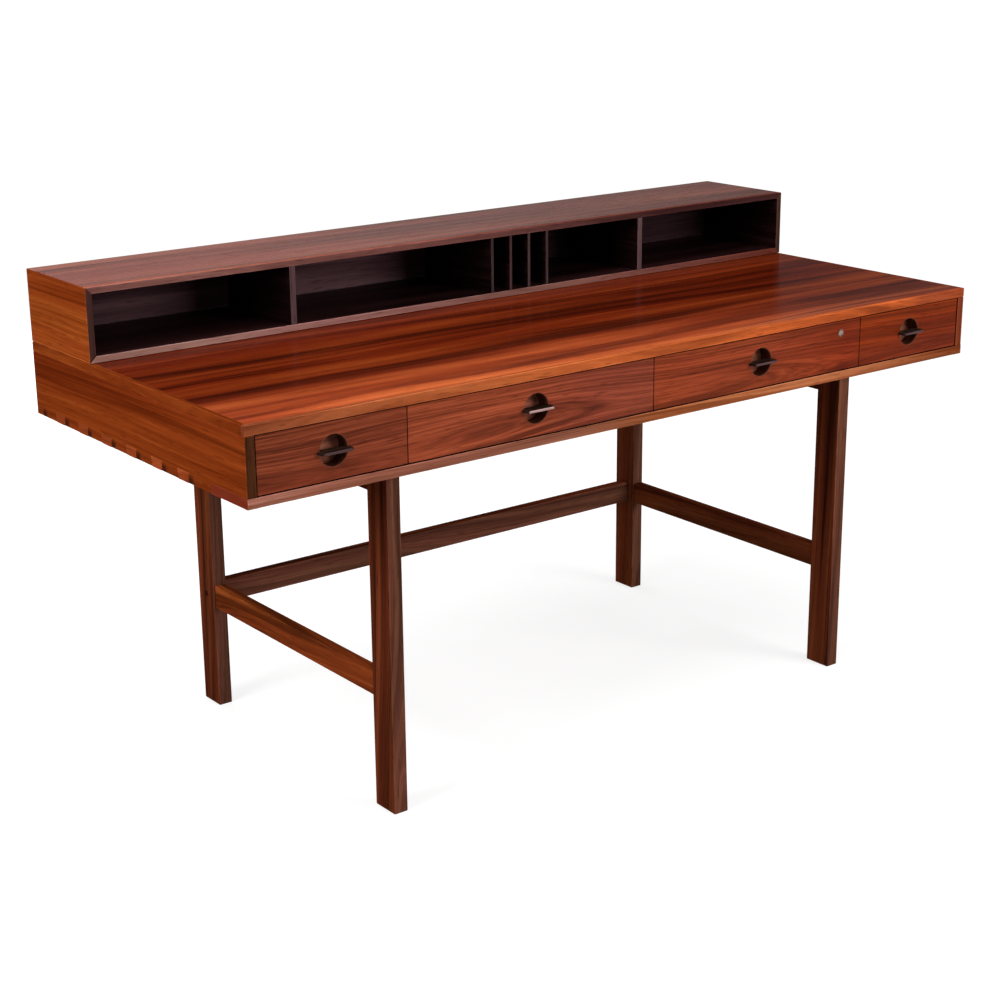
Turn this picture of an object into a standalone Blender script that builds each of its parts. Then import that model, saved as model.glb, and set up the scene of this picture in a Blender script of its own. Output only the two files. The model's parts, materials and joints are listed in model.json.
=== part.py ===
"""Rosewood partners desk: a shallow case of four drawers on a stretcher base, with a pigeonhole gallery.

The gallery stands on the back of the top and is hinged along the back edge. Swung over, its underside
lengthens the top for a second person, and its pigeonholes then face that person.

Units are metres. +X runs to the right along the front, +Y to the back and +Z up. The origin is on the
floor, below the middle of the desk's overall box.
"""
import math

import bmesh
import bpy
from mathutils import Matrix, Vector

# Overall sizes
WIDTH = 1.620
DEPTH = 0.732
TOP_HEIGHT = 0.733
CASE_HEIGHT = 0.1305
GALLERY_HEIGHT = 0.129
GALLERY_DEPTH = 0.2285

# Boards of the case
TOP_THICK = 0.017
BOTTOM_THICK = 0.017
SIDE_THICK = 0.017
BACK_THICK = 0.012
PARTITION_THICK = 0.015

# Dovetails between the case's sides and its bottom board
FRONT_LAP = 0.110
PIN_PITCH = 0.088
PIN_WIDTH = 0.038
PIN_SLOPE = 0.004

# Base: legs, top rails and stretchers
CASE_OVERHANG = 0.2745
LEG_WIDTH = 0.027
LEG_DEPTH = 0.056
FRONT_LEG_SETBACK = 0.0385
REAR_LEG_SETBACK = 0.0485
RAIL_THICK = 0.021
TOP_RAIL_HEIGHT = 0.045
STRETCHER_HEIGHT = 0.0435
STRETCHER_FROM_FLOOR = 0.1985
TENON_LENGTH = 0.014
TENON_THICK = 0.008
TENON_SHOULDER = 0.006

# Drawers
OUTER_DRAWER_SPACE = 0.276
DRAWER_INSET = 0.001
FRONT_THICK = 0.020
BOX_LENGTH = 0.500
BOX_SIDE_THICK = 0.010
BOX_SIDE_HEIGHT = 0.078
BOX_BACK_DROP = 0.006
BOX_BOTTOM_THICK = 0.004
BOX_BOTTOM_RAISE = 0.005
GROOVE_DEPTH = 0.005

# Finger recess in a drawer front, and the bar let in across it
RECESS_RADIUS = 0.0255
RECESS_DEPTH = 0.026
RECESS_LIP = 0.0012
CUP_WALL = 0.004
PULL_LENGTH = 0.060
PULL_THICK = 0.0045
PULL_PROUD = 0.015
PULL_INSET = 0.008

# Lock, in one of the wide drawers, counted from the left
LOCKED_DRAWER = 3
LOCK_FROM_END = 0.0525
LOCK_FROM_TOP = 0.022
LOCK_RIM_RADIUS = 0.0076
LOCK_RIM_PROUD = 0.0014
LOCK_NOSE_RADIUS = 0.0064
PLUG_RADIUS = 0.0046
KEYWAY_WIDTH = 0.0015
KEYWAY_HEIGHT = 0.0062
KEYWAY_DEPTH = 0.008
HOUSING_WIDTH = 0.034
HOUSING_WALL = 0.003
COVER_THICK = 0.002
CRANK_THICK = 0.0025
CRANK_PIN_RADIUS = 0.0012
CRANK_MARGIN = 0.0012
BOLT_THICK = 0.003
BOLT_THROW = 0.008

# Gallery
GALLERY_BOARD = 0.012
GALLERY_BACK_THICK = 0.006
THIN_DIVIDER = 0.006
DIVIDER_SETBACK = 0.001
OUTER_BIN_WIDTH = 0.382
SLOTS_OFFSET = 0.1025
SLOT_PITCH = 0.0445
SLOT_COUNT = 3

# Hinges of the gallery
HINGE_FROM_END = 0.250
HINGE_LENGTH = 0.070
LEAF_WIDTH = 0.026
LEAF_THICK = 0.0015
KNUCKLE_RADIUS = 0.0026
HINGE_PIN_RADIUS = 0.0012

# Clearances
GLUE_GAP = 0.0003
FLAP_GAP = 0.0008
FRONT_GAP = 0.0016
RUN_GAP = 0.0008
SLIDE_GAP = 0.0004
STOP_GAP = 0.0005
PLUG_CLEAR = 0.0001
LOCK_PLAY = 0.0003
STRIKE_CLEAR = 0.0008
KNUCKLE_CLEAR = 0.0004
PIN_CLEAR = 0.00008

# Eased edges and the fineness of round pieces
BOARD_EASE = 0.0010
LEG_EASE = 0.0016
BOX_EASE = 0.0006
PULL_EASE = 0.0012
SHARP_ANGLE = math.radians(30)
RECESS_SIDES = 48
LOCK_SIDES = 24
KNUCKLE_SIDES = 16

# How far a tool body overruns the face it cuts or joins
OVERRUN = 0.003

# Finishes: colour, roughness, metallic
ROSEWOOD_TOP = ((0.30, 0.085, 0.035), 0.32, 0.0)
ROSEWOOD_CASE = ((0.32, 0.095, 0.032), 0.38, 0.0)
ROSEWOOD_FRONT = ((0.24, 0.070, 0.035), 0.40, 0.0)
ROSEWOOD_BASE = ((0.11, 0.034, 0.018), 0.45, 0.0)
ROSEWOOD_INSIDE = ((0.055, 0.024, 0.020), 0.50, 0.0)
DRAWER_WOOD = ((0.42, 0.24, 0.12), 0.55, 0.0)
PULL_WOOD = ((0.050, 0.020, 0.016), 0.35, 0.0)
BRASS = ((0.62, 0.45, 0.20), 0.30, 1.0)
STEEL = ((0.60, 0.58, 0.54), 0.28, 1.0)

# Planes that the pieces share
CASE_Y = (PULL_PROUD - DRAWER_INSET - FLAP_GAP / 2 - KNUCKLE_RADIUS) / 2
FRONT_Y = CASE_Y - DEPTH / 2
BACK_Y = CASE_Y + DEPTH / 2
CASE_BOTTOM = TOP_HEIGHT - CASE_HEIGHT
TOP_UNDERSIDE = TOP_HEIGHT - TOP_THICK
BOTTOM_UPPER = CASE_BOTTOM + BOTTOM_THICK
INNER_X = WIDTH / 2 - SIDE_THICK
FACE_Y = FRONT_Y + DRAWER_INSET
FRONT_BACK_Y = FACE_Y + FRONT_THICK
FRONT_LOW = BOTTOM_UPPER + FRONT_GAP
FRONT_HIGH = TOP_UNDERSIDE - FRONT_GAP
FLAP_Y = BACK_Y + FLAP_GAP / 2
FLAP_Z = TOP_HEIGHT + FLAP_GAP / 2
GALLERY_LOW = TOP_HEIGHT + FLAP_GAP
GALLERY_HIGH = GALLERY_LOW + GALLERY_HEIGHT
GALLERY_FRONT_Y = BACK_Y - GALLERY_DEPTH
LEG_OUTER_X = WIDTH / 2 - CASE_OVERHANG
HINGE_X = WIDTH / 2 - HINGE_FROM_END

# Planes and radii inside the lock, from the drawer front backwards
CRANK_RADIUS = math.hypot(BOLT_THROW / 2, BOLT_THROW / 2)
CRANK_DISC = CRANK_RADIUS + CRANK_PIN_RADIUS + CRANK_MARGIN
BOLT_WIDTH = 2 * (CRANK_DISC + LOCK_PLAY)
LOCK_SEAT_Y = FRONT_BACK_Y + GLUE_GAP
CRANK_Y = LOCK_SEAT_Y + HOUSING_WALL + LOCK_PLAY
BOLT_Y = CRANK_Y + CRANK_THICK + LOCK_PLAY
COVER_Y = BOLT_Y + BOLT_THICK + LOCK_PLAY


def clear_scene():
    """Start from an empty scene."""
    for old in list(bpy.data.objects):
        bpy.data.objects.remove(old, do_unlink=True)


def world_place(thing):
    """Where an unturned object or empty stands, adding up its carriers' locations."""
    place = Vector((0.0, 0.0, 0.0))
    while thing is not None:
        place += thing.location
        thing = thing.parent
    return place


def add_body(name, place, carrier=None):
    """An empty for a group that moves as one, standing on the group's joint axis."""
    body = bpy.data.objects.new(name, None)
    bpy.context.collection.objects.link(body)
    body.parent = carrier
    body.location = Vector(place) - world_place(carrier)
    return body


def add_box(shape, low, high):
    """Add a straight block between two corners."""
    low, high = Vector(low), Vector(high)
    stretch = Matrix.Diagonal((*(high - low), 1.0))
    bmesh.ops.create_cube(shape, size=1.0, matrix=Matrix.Translation((low + high) / 2) @ stretch)


def add_prism(shape, near, far):
    """Add a solid between two outlines that have the same number of points."""
    rings = [[shape.verts.new(point) for point in outline] for outline in (near, far)]
    count = len(near)
    for index in range(count):
        after = (index + 1) % count
        shape.faces.new((rings[0][index], rings[0][after], rings[1][after], rings[1][index]))
    shape.faces.new(rings[0])
    shape.faces.new(rings[1])


def add_bar(shape, outline, start_x, end_x):
    """Add a bar along X whose section is an outline of (y, z) points."""
    add_prism(shape, [(start_x, y, z) for y, z in outline], [(end_x, y, z) for y, z in outline])


def add_turned(shape, profile, centre_x, centre_z, sides):
    """Add a turned solid about an axis along Y, from (radius, y) points in order along the axis."""
    rings = []
    for radius, y in profile:
        ring = []
        for step in range(sides):
            angle = 2 * math.pi * step / sides
            x = centre_x + radius * math.cos(angle)
            z = centre_z + radius * math.sin(angle)
            ring.append(shape.verts.new((x, y, z)))
        rings.append(ring)
    for near, far in zip(rings, rings[1:]):
        for step in range(sides):
            after = (step + 1) % sides
            shape.faces.new((near[step], near[after], far[after], far[step]))
    shape.faces.new(rings[0])
    shape.faces.new(rings[-1])


def add_rod(shape, radius, y, z, start_x, end_x, sides):
    """Add a round rod along X."""
    angles = [2 * math.pi * step / sides for step in range(sides)]
    outline = [(y + radius * math.cos(angle), z + radius * math.sin(angle)) for angle in angles]
    add_bar(shape, outline, start_x, end_x)


def add_object(name, shape, body):
    """Make an object of a shape drawn in place, with its origin at the middle of its own box."""
    bmesh.ops.recalc_face_normals(shape, faces=shape.faces)
    corners = [vert.co for vert in shape.verts]
    low = Vector([min(corner[axis] for corner in corners) for axis in range(3)])
    high = Vector([max(corner[axis] for corner in corners) for axis in range(3)])
    middle = (low + high) / 2
    bmesh.ops.translate(shape, vec=-middle, verts=shape.verts)
    mesh = bpy.data.meshes.new(name)
    shape.to_mesh(mesh)
    shape.free()
    made = bpy.data.objects.new(name, mesh)
    bpy.context.collection.objects.link(made)
    made.parent = body
    made.location = middle - world_place(body)
    return made


def add_piece(name, shape, finish, body, ease=0.0, steps=1):
    """A named piece of the desk, with its own material and its edges eased."""
    piece = add_object(name, shape, body)
    colour, roughness, metallic = finish
    material = bpy.data.materials.new(name)
    material.use_nodes = True
    shader = material.node_tree.nodes["Principled BSDF"]
    shader.inputs["Base Color"].default_value = (*colour, 1.0)
    shader.inputs["Roughness"].default_value = roughness
    shader.inputs["Metallic"].default_value = metallic
    piece.data.materials.append(material)
    piece.data.shade_smooth()
    piece.data.set_sharp_from_angle(angle=SHARP_ANGLE)
    if ease > 0.0:
        bevel = piece.modifiers.new("eased edges", 'BEVEL')
        bevel.width = ease
        bevel.segments = steps
        bevel.limit_method = 'ANGLE'
    return piece


def add_board(name, low, high, finish, body, ease=BOARD_EASE, steps=1):
    """A straight board between two corners."""
    shape = bmesh.new()
    add_box(shape, low, high)
    return add_piece(name, shape, finish, body, ease, steps)


def combine(piece, shape, operation):
    """Join a shape to a piece ('UNION') or cut it out of the piece ('DIFFERENCE')."""
    order = len(piece.modifiers)
    tool = add_object(f"{piece.name}_tool_{order}", shape, piece.parent)
    tool.hide_render = True
    tool.display_type = 'WIRE'
    change = piece.modifiers.new(tool.name, 'BOOLEAN')
    change.operation = operation
    change.solver = 'EXACT'
    change.object = tool


def grown(low, high, amount):
    """The corners of a block made larger by the same amount on every side."""
    extra = Vector((amount, amount, amount))
    return Vector(low) - extra, Vector(high) + extra


def tenon_block(low, high, along, end):
    """The corners of the tenon at one end (-1 or +1) of a rail that runs along X (0) or Y (1)."""
    across = 1 - along
    start, stop = Vector(low), Vector(high)
    middle = (low[across] + high[across]) / 2
    start[across] = middle - TENON_THICK / 2
    stop[across] = middle + TENON_THICK / 2
    start[2] += TENON_SHOULDER
    stop[2] -= TENON_SHOULDER
    if end > 0:
        start[along] = high[along] - OVERRUN
        stop[along] = high[along] + TENON_LENGTH
    else:
        start[along] = low[along] - TENON_LENGTH
        stop[along] = low[along] + OVERRUN
    return start, stop


def add_rail(name, low, high, along, body):
    """A rail or stretcher with a tenon at each end; returns the tenons' corners, lower end first."""
    rail = add_board(name, low, high, ROSEWOOD_BASE, body, BOARD_EASE, 2)
    tenons = [tenon_block(low, high, along, end) for end in (-1, 1)]
    shape = bmesh.new()
    for start, stop in tenons:
        add_box(shape, start, stop)
    combine(rail, shape, 'UNION')
    return tenons


def build_base(desk):
    """Four legs, with a top rail and a stretcher on each side and one long stretcher at the back."""
    leg_top = CASE_BOTTOM - GLUE_GAP
    rows = {"front": FRONT_Y + FRONT_LEG_SETBACK, "rear": BACK_Y - REAR_LEG_SETBACK - LEG_DEPTH}
    columns = {"left": -LEG_OUTER_X, "right": LEG_OUTER_X - LEG_WIDTH}
    mortises = {(row, column): [] for row in rows for column in columns}
    rail_start = rows["front"] + LEG_DEPTH + GLUE_GAP
    rail_stop = rows["rear"] - GLUE_GAP
    levels = {
        "top_rail": (leg_top - TOP_RAIL_HEIGHT, leg_top),
        "side_stretcher": (STRETCHER_FROM_FLOOR, STRETCHER_FROM_FLOOR + STRETCHER_HEIGHT),
    }
    for column, leg_x in columns.items():
        rail_x = leg_x + (LEG_WIDTH - RAIL_THICK) / 2
        for rail, (low_z, high_z) in levels.items():
            low = (rail_x, rail_start, low_z)
            high = (rail_x + RAIL_THICK, rail_stop, high_z)
            front_tenon, rear_tenon = add_rail(f"{rail}_{column}", low, high, 1, desk)
            mortises["front", column].append(front_tenon)
            mortises["rear", column].append(rear_tenon)
    stretcher_y = rows["rear"] + (LEG_DEPTH - RAIL_THICK) / 2
    reach = LEG_OUTER_X - LEG_WIDTH - GLUE_GAP
    low_z, high_z = levels["side_stretcher"]
    low = (-reach, stretcher_y, low_z)
    high = (reach, stretcher_y + RAIL_THICK, high_z)
    left_tenon, right_tenon = add_rail("rear_stretcher", low, high, 0, desk)
    mortises["rear", "left"].append(left_tenon)
    mortises["rear", "right"].append(right_tenon)
    for row, leg_y in rows.items():
        for column, leg_x in columns.items():
            low = (leg_x, leg_y, 0.0)
            high = (leg_x + LEG_WIDTH, leg_y + LEG_DEPTH, leg_top)
            leg = add_board(f"leg_{row}_{column}", low, high, ROSEWOOD_BASE, desk, LEG_EASE, 2)
            shape = bmesh.new()
            for tenon in mortises[row, column]:
                add_box(shape, *grown(*tenon, GLUE_GAP))
            combine(leg, shape, 'DIFFERENCE')


def dovetail_outlines(grow):
    """The (y, z) outlines of the bottom board's ends that show on a case side, grown by a fit gap."""
    low = CASE_BOTTOM - OVERRUN * (grow > 0)
    high = BOTTOM_UPPER + grow
    lap_end = FRONT_Y + FRONT_LAP + grow
    lap_start = FRONT_Y - OVERRUN * (grow > 0)
    outlines = [[(lap_start, low), (lap_end, low), (lap_end, high), (lap_start, high)]]
    slope = PIN_SLOPE / BOTTOM_THICK
    wide = PIN_WIDTH / 2 + grow
    wide_low = wide - slope * (high - low)
    middle = FRONT_Y + FRONT_LAP + PIN_PITCH
    while middle + PIN_PITCH / 2 < BACK_Y:
        outlines.append([
            (middle - wide_low, low),
            (middle + wide_low, low),
            (middle + wide, high),
            (middle - wide, high),
        ])
        middle += PIN_PITCH
    return outlines


def leaf_pocket(side, hinge_x):
    """The room for one hinge leaf and the knuckles: below the flap line (side -1) or above it (+1)."""
    reach_y = FLAP_Y - FLAP_GAP / 2 - LEAF_WIDTH - GLUE_GAP
    knuckle = KNUCKLE_RADIUS + KNUCKLE_CLEAR
    leaf_depth = FLAP_GAP / 2 + LEAF_THICK + GLUE_GAP
    outline = [
        (reach_y, FLAP_Z - side * OVERRUN),
        (reach_y, FLAP_Z + side * leaf_depth),
        (FLAP_Y - knuckle, FLAP_Z + side * leaf_depth),
        (FLAP_Y - knuckle, FLAP_Z + side * knuckle),
        (FLAP_Y + OVERRUN, FLAP_Z + side * knuckle),
        (FLAP_Y + OVERRUN, FLAP_Z - side * OVERRUN),
    ]
    shape = bmesh.new()
    half = HINGE_LENGTH / 2 + GLUE_GAP
    add_bar(shape, outline, hinge_x - half, hinge_x + half)
    return shape


def drawer_joints():
    """X of the case side, the three drawer joints and the other case side, from left to right."""
    outer = INNER_X - OUTER_DRAWER_SPACE
    return [-INNER_X, -outer, 0.0, outer, INNER_X]


def build_case(desk):
    """Top, bottom, sides, back and the partitions between the drawers."""
    low = (-WIDTH / 2, FRONT_Y, TOP_UNDERSIDE)
    high = (WIDTH / 2, BACK_Y, TOP_HEIGHT)
    top = add_board("case_top", low, high, ROSEWOOD_TOP, desk, BOARD_EASE, 2)
    for hinge_x in (-HINGE_X, HINGE_X):
        combine(top, leaf_pocket(-1, hinge_x), 'DIFFERENCE')
    shape = bmesh.new()
    bolt_low, bolt_high = bolt_corners()
    bolt_high.z += BOLT_THROW
    add_box(shape, *grown(bolt_low, bolt_high, STRIKE_CLEAR))
    combine(top, shape, 'DIFFERENCE')

    reach = INNER_X - GLUE_GAP
    low = (-reach, FRONT_Y, CASE_BOTTOM)
    high = (reach, BACK_Y, BOTTOM_UPPER)
    bottom = add_board("case_bottom", low, high, ROSEWOOD_CASE, desk)
    shape = bmesh.new()
    for outline in dovetail_outlines(0.0):
        for start_x, end_x in ((-WIDTH / 2, -reach + OVERRUN), (reach - OVERRUN, WIDTH / 2)):
            add_bar(shape, outline, start_x, end_x)
    combine(bottom, shape, 'UNION')

    for name, start_x in (("case_side_left", -WIDTH / 2), ("case_side_right", INNER_X)):
        low = (start_x, FRONT_Y, CASE_BOTTOM)
        high = (start_x + SIDE_THICK, BACK_Y, TOP_UNDERSIDE - GLUE_GAP)
        side = add_board(name, low, high, ROSEWOOD_CASE, desk)
        shape = bmesh.new()
        for outline in dovetail_outlines(GLUE_GAP):
            add_bar(shape, outline, start_x - OVERRUN, start_x + SIDE_THICK + OVERRUN)
        combine(side, shape, 'DIFFERENCE')

    low_z = BOTTOM_UPPER + GLUE_GAP
    high_z = TOP_UNDERSIDE - GLUE_GAP
    low = (-reach, BACK_Y - BACK_THICK, low_z)
    high = (reach, BACK_Y, high_z)
    add_board("case_back", low, high, ROSEWOOD_CASE, desk)

    for name, middle in zip(("left", "centre", "right"), drawer_joints()[1:-1]):
        low = (middle - PARTITION_THICK / 2, FRONT_BACK_Y + STOP_GAP, low_z)
        high = (middle + PARTITION_THICK / 2, BACK_Y - BACK_THICK - GLUE_GAP, high_z)
        add_board(f"partition_{name}", low, high, ROSEWOOD_INSIDE, desk, BOX_EASE)


def drawer_span(number):
    """The left and right ends of a drawer front, and the outer faces of its box, for drawers 1 to 4."""
    joints = drawer_joints()
    ends = []
    faces = []
    for joint, inward in ((joints[number - 1], 1), (joints[number], -1)):
        at_case_side = abs(joint) == INNER_X
        ends.append(joint + inward * (FRONT_GAP if at_case_side else FRONT_GAP / 2))
        wall = 0.0 if at_case_side else PARTITION_THICK / 2
        faces.append(joint + inward * (wall + RUN_GAP))
    return ends, faces


def build_drawer_front(number, ends, body):
    """The inset front: a turned finger recess with its cup behind, and the slot for the pull."""
    middle_x = (ends[0] + ends[1]) / 2
    middle_z = (FRONT_LOW + FRONT_HIGH) / 2
    low = (ends[0], FACE_Y, FRONT_LOW)
    high = (ends[1], FRONT_BACK_Y, FRONT_HIGH)
    front = add_board(f"drawer_{number}_front", low, high, ROSEWOOD_FRONT, body)

    shape = bmesh.new()
    cup_radius = RECESS_RADIUS + CUP_WALL
    cup = [(cup_radius, FRONT_BACK_Y - OVERRUN), (cup_radius, FACE_Y + RECESS_DEPTH + CUP_WALL)]
    add_turned(shape, cup, middle_x, middle_z, RECESS_SIDES)
    combine(front, shape, 'UNION')

    shape = bmesh.new()
    recess = [
        (RECESS_RADIUS + RECESS_LIP + OVERRUN, FACE_Y - OVERRUN),
        (RECESS_RADIUS, FACE_Y + RECESS_LIP),
        (RECESS_RADIUS, FACE_Y + RECESS_DEPTH),
    ]
    add_turned(shape, recess, middle_x, middle_z, RECESS_SIDES)
    combine(front, shape, 'DIFFERENCE')

    low = (middle_x - PULL_LENGTH / 2, FACE_Y - PULL_PROUD, middle_z - PULL_THICK / 2)
    high = (middle_x + PULL_LENGTH / 2, FACE_Y + PULL_INSET, middle_z + PULL_THICK / 2)
    shape = bmesh.new()
    add_box(shape, *grown(low, high, GLUE_GAP))
    combine(front, shape, 'DIFFERENCE')
    add_board(f"drawer_{number}_pull", low, high, PULL_WOOD, body, PULL_EASE, 2)
    return front


def build_drawer(number, desk):
    """One drawer: the front, the box behind it and the loose bottom in its grooves."""
    ends, faces = drawer_span(number)
    middle_x = (ends[0] + ends[1]) / 2
    body = add_body(f"drawer_{number}", (middle_x, FACE_Y, (FRONT_LOW + FRONT_HIGH) / 2), desk)
    front = build_drawer_front(number, ends, body)

    side_low = BOTTOM_UPPER + SLIDE_GAP
    side_high = side_low + BOX_SIDE_HEIGHT
    start_y = FRONT_BACK_Y + GLUE_GAP
    end_y = FRONT_BACK_Y + BOX_LENGTH
    inner = (faces[0] + BOX_SIDE_THICK, faces[1] - BOX_SIDE_THICK)
    bottom_low = side_low + BOX_BOTTOM_RAISE
    bottom_high = bottom_low + BOX_BOTTOM_THICK
    tongue = GROOVE_DEPTH - GLUE_GAP
    low = Vector((inner[0] - tongue, FRONT_BACK_Y - tongue, bottom_low))
    high = Vector((inner[1] + tongue, end_y, bottom_high))
    add_board(f"drawer_{number}_bottom", low, high, DRAWER_WOOD, body, 0.0)
    groove_low, groove_high = grown(low, high, GLUE_GAP)
    groove_high.y += OVERRUN

    for name, start_x in (("left", faces[0]), ("right", inner[1])):
        low = (start_x, start_y, side_low)
        high = (start_x + BOX_SIDE_THICK, end_y, side_high)
        side = add_board(f"drawer_{number}_side_{name}", low, high, DRAWER_WOOD, body, BOX_EASE)
        shape = bmesh.new()
        add_box(shape, groove_low, groove_high)
        combine(side, shape, 'DIFFERENCE')
    shape = bmesh.new()
    add_box(shape, groove_low, groove_high)
    combine(front, shape, 'DIFFERENCE')

    low = (inner[0] + GLUE_GAP, end_y - BOX_SIDE_THICK, bottom_high + GLUE_GAP)
    high = (inner[1] - GLUE_GAP, end_y, side_high - BOX_BACK_DROP)
    add_board(f"drawer_{number}_back", low, high, DRAWER_WOOD, body, BOX_EASE)
    return body, front


def lock_centre():
    """X and Z of the lock's axis, near the right end of the locked drawer's front."""
    ends, _ = drawer_span(LOCKED_DRAWER)
    return ends[1] - LOCK_FROM_END, FRONT_HIGH - LOCK_FROM_TOP


def bolt_corners():
    """The corners of the lock bolt, drawn down into its housing behind the drawer front."""
    lock_x, lock_z = lock_centre()
    low = Vector((lock_x - BOLT_WIDTH / 2, BOLT_Y, lock_z - CRANK_DISC))
    high = Vector((lock_x + BOLT_WIDTH / 2, BOLT_Y + BOLT_THICK, FRONT_HIGH))
    return low, high


def build_lock_housing(drawer, front):
    """The lock's case behind the drawer front, its nose through the front, and the cover at its back."""
    lock_x, lock_z = lock_centre()
    shape = bmesh.new()
    hole_radius = LOCK_NOSE_RADIUS + GLUE_GAP
    hole = [(hole_radius, FACE_Y - OVERRUN), (hole_radius, FRONT_BACK_Y + OVERRUN)]
    add_turned(shape, hole, lock_x, lock_z, LOCK_SIDES)
    combine(front, shape, 'DIFFERENCE')

    cavity_low, cavity_high = grown(*bolt_corners(), LOCK_PLAY)
    low = Vector((lock_x - HOUSING_WIDTH / 2, LOCK_SEAT_Y, cavity_low.z - HOUSING_WALL))
    high = Vector((lock_x + HOUSING_WIDTH / 2, COVER_Y, FRONT_HIGH))
    housing = add_board("lock_housing", low, high, STEEL, drawer, 0.0)
    shape = bmesh.new()
    nose = [
        (LOCK_RIM_RADIUS, FACE_Y - LOCK_RIM_PROUD),
        (LOCK_RIM_RADIUS, FACE_Y - GLUE_GAP),
        (LOCK_NOSE_RADIUS, FACE_Y - GLUE_GAP),
        (LOCK_NOSE_RADIUS, LOCK_SEAT_Y + HOUSING_WALL / 2),
    ]
    add_turned(shape, nose, lock_x, lock_z, LOCK_SIDES)
    combine(housing, shape, 'UNION')
    shape = bmesh.new()
    bore_radius = PLUG_RADIUS + PLUG_CLEAR
    bore = [(bore_radius, FACE_Y - LOCK_RIM_PROUD - OVERRUN), (bore_radius, CRANK_Y)]
    add_turned(shape, bore, lock_x, lock_z, LOCK_SIDES)
    combine(housing, shape, 'DIFFERENCE')
    cavity_low.y = LOCK_SEAT_Y + HOUSING_WALL
    cavity_high.y = COVER_Y + OVERRUN
    cavity_high.z = FRONT_HIGH + OVERRUN
    shape = bmesh.new()
    add_box(shape, cavity_low, cavity_high)
    combine(housing, shape, 'DIFFERENCE')

    low.y = COVER_Y + GLUE_GAP
    high.y = low.y + COVER_THICK
    add_board("lock_cover", low, high, STEEL, drawer, 0.0)


def build_lock_works(drawer):
    """The plug that the key turns, and the bolt that the crank pin on the plug's end lifts."""
    lock_x, lock_z = lock_centre()
    rim_y = FACE_Y - LOCK_RIM_PROUD
    pin_x = lock_x + BOLT_THROW / 2
    pin_z = lock_z - BOLT_THROW / 2
    bolt_back = BOLT_Y + BOLT_THICK

    plug_body = add_body("lock_plug_axis", (lock_x, rim_y, lock_z), drawer)
    shape = bmesh.new()
    profile = [
        (PLUG_RADIUS, rim_y),
        (PLUG_RADIUS, CRANK_Y),
        (CRANK_DISC, CRANK_Y),
        (CRANK_DISC, CRANK_Y + CRANK_THICK),
    ]
    add_turned(shape, profile, lock_x, lock_z, LOCK_SIDES)
    plug = add_piece("lock_plug", shape, STEEL, plug_body)
    shape = bmesh.new()
    pin = [(CRANK_PIN_RADIUS, CRANK_Y + CRANK_THICK / 2), (CRANK_PIN_RADIUS, bolt_back)]
    add_turned(shape, pin, pin_x, pin_z, KNUCKLE_SIDES)
    combine(plug, shape, 'UNION')
    shape = bmesh.new()
    low = (lock_x - KEYWAY_WIDTH / 2, rim_y - OVERRUN, lock_z - KEYWAY_HEIGHT / 2)
    high = (lock_x + KEYWAY_WIDTH / 2, rim_y + KEYWAY_DEPTH, lock_z + KEYWAY_HEIGHT / 2)
    add_box(shape, low, high)
    combine(plug, shape, 'DIFFERENCE')

    low, high = bolt_corners()
    bolt_body = add_body("lock_bolt_slide", low, drawer)
    bolt = add_board("lock_bolt", low, high, STEEL, bolt_body, 0.0)
    reach = CRANK_PIN_RADIUS + LOCK_PLAY
    shape = bmesh.new()
    low = (pin_x - reach, BOLT_Y - OVERRUN, pin_z - reach)
    high = (lock_x + CRANK_RADIUS + reach, bolt_back + OVERRUN, pin_z + reach)
    add_box(shape, low, high)
    combine(bolt, shape, 'DIFFERENCE')


def mitred_x(name, low_z, high_z, body, outer_is_high):
    """The gallery's top or bottom board, its ends mitred to the sides."""
    outer = WIDTH / 2 - GLUE_GAP / 2
    inner = outer - GALLERY_BOARD
    low_x, high_x = (inner, outer) if outer_is_high else (outer, inner)
    outline = [(-low_x, low_z), (low_x, low_z), (high_x, high_z), (-high_x, high_z)]
    shape = bmesh.new()
    near = [(x, GALLERY_FRONT_Y, z) for x, z in outline]
    far = [(x, BACK_Y, z) for x, z in outline]
    add_prism(shape, near, far)
    return add_piece(name, shape, ROSEWOOD_TOP, body, BOARD_EASE, 2)


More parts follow.
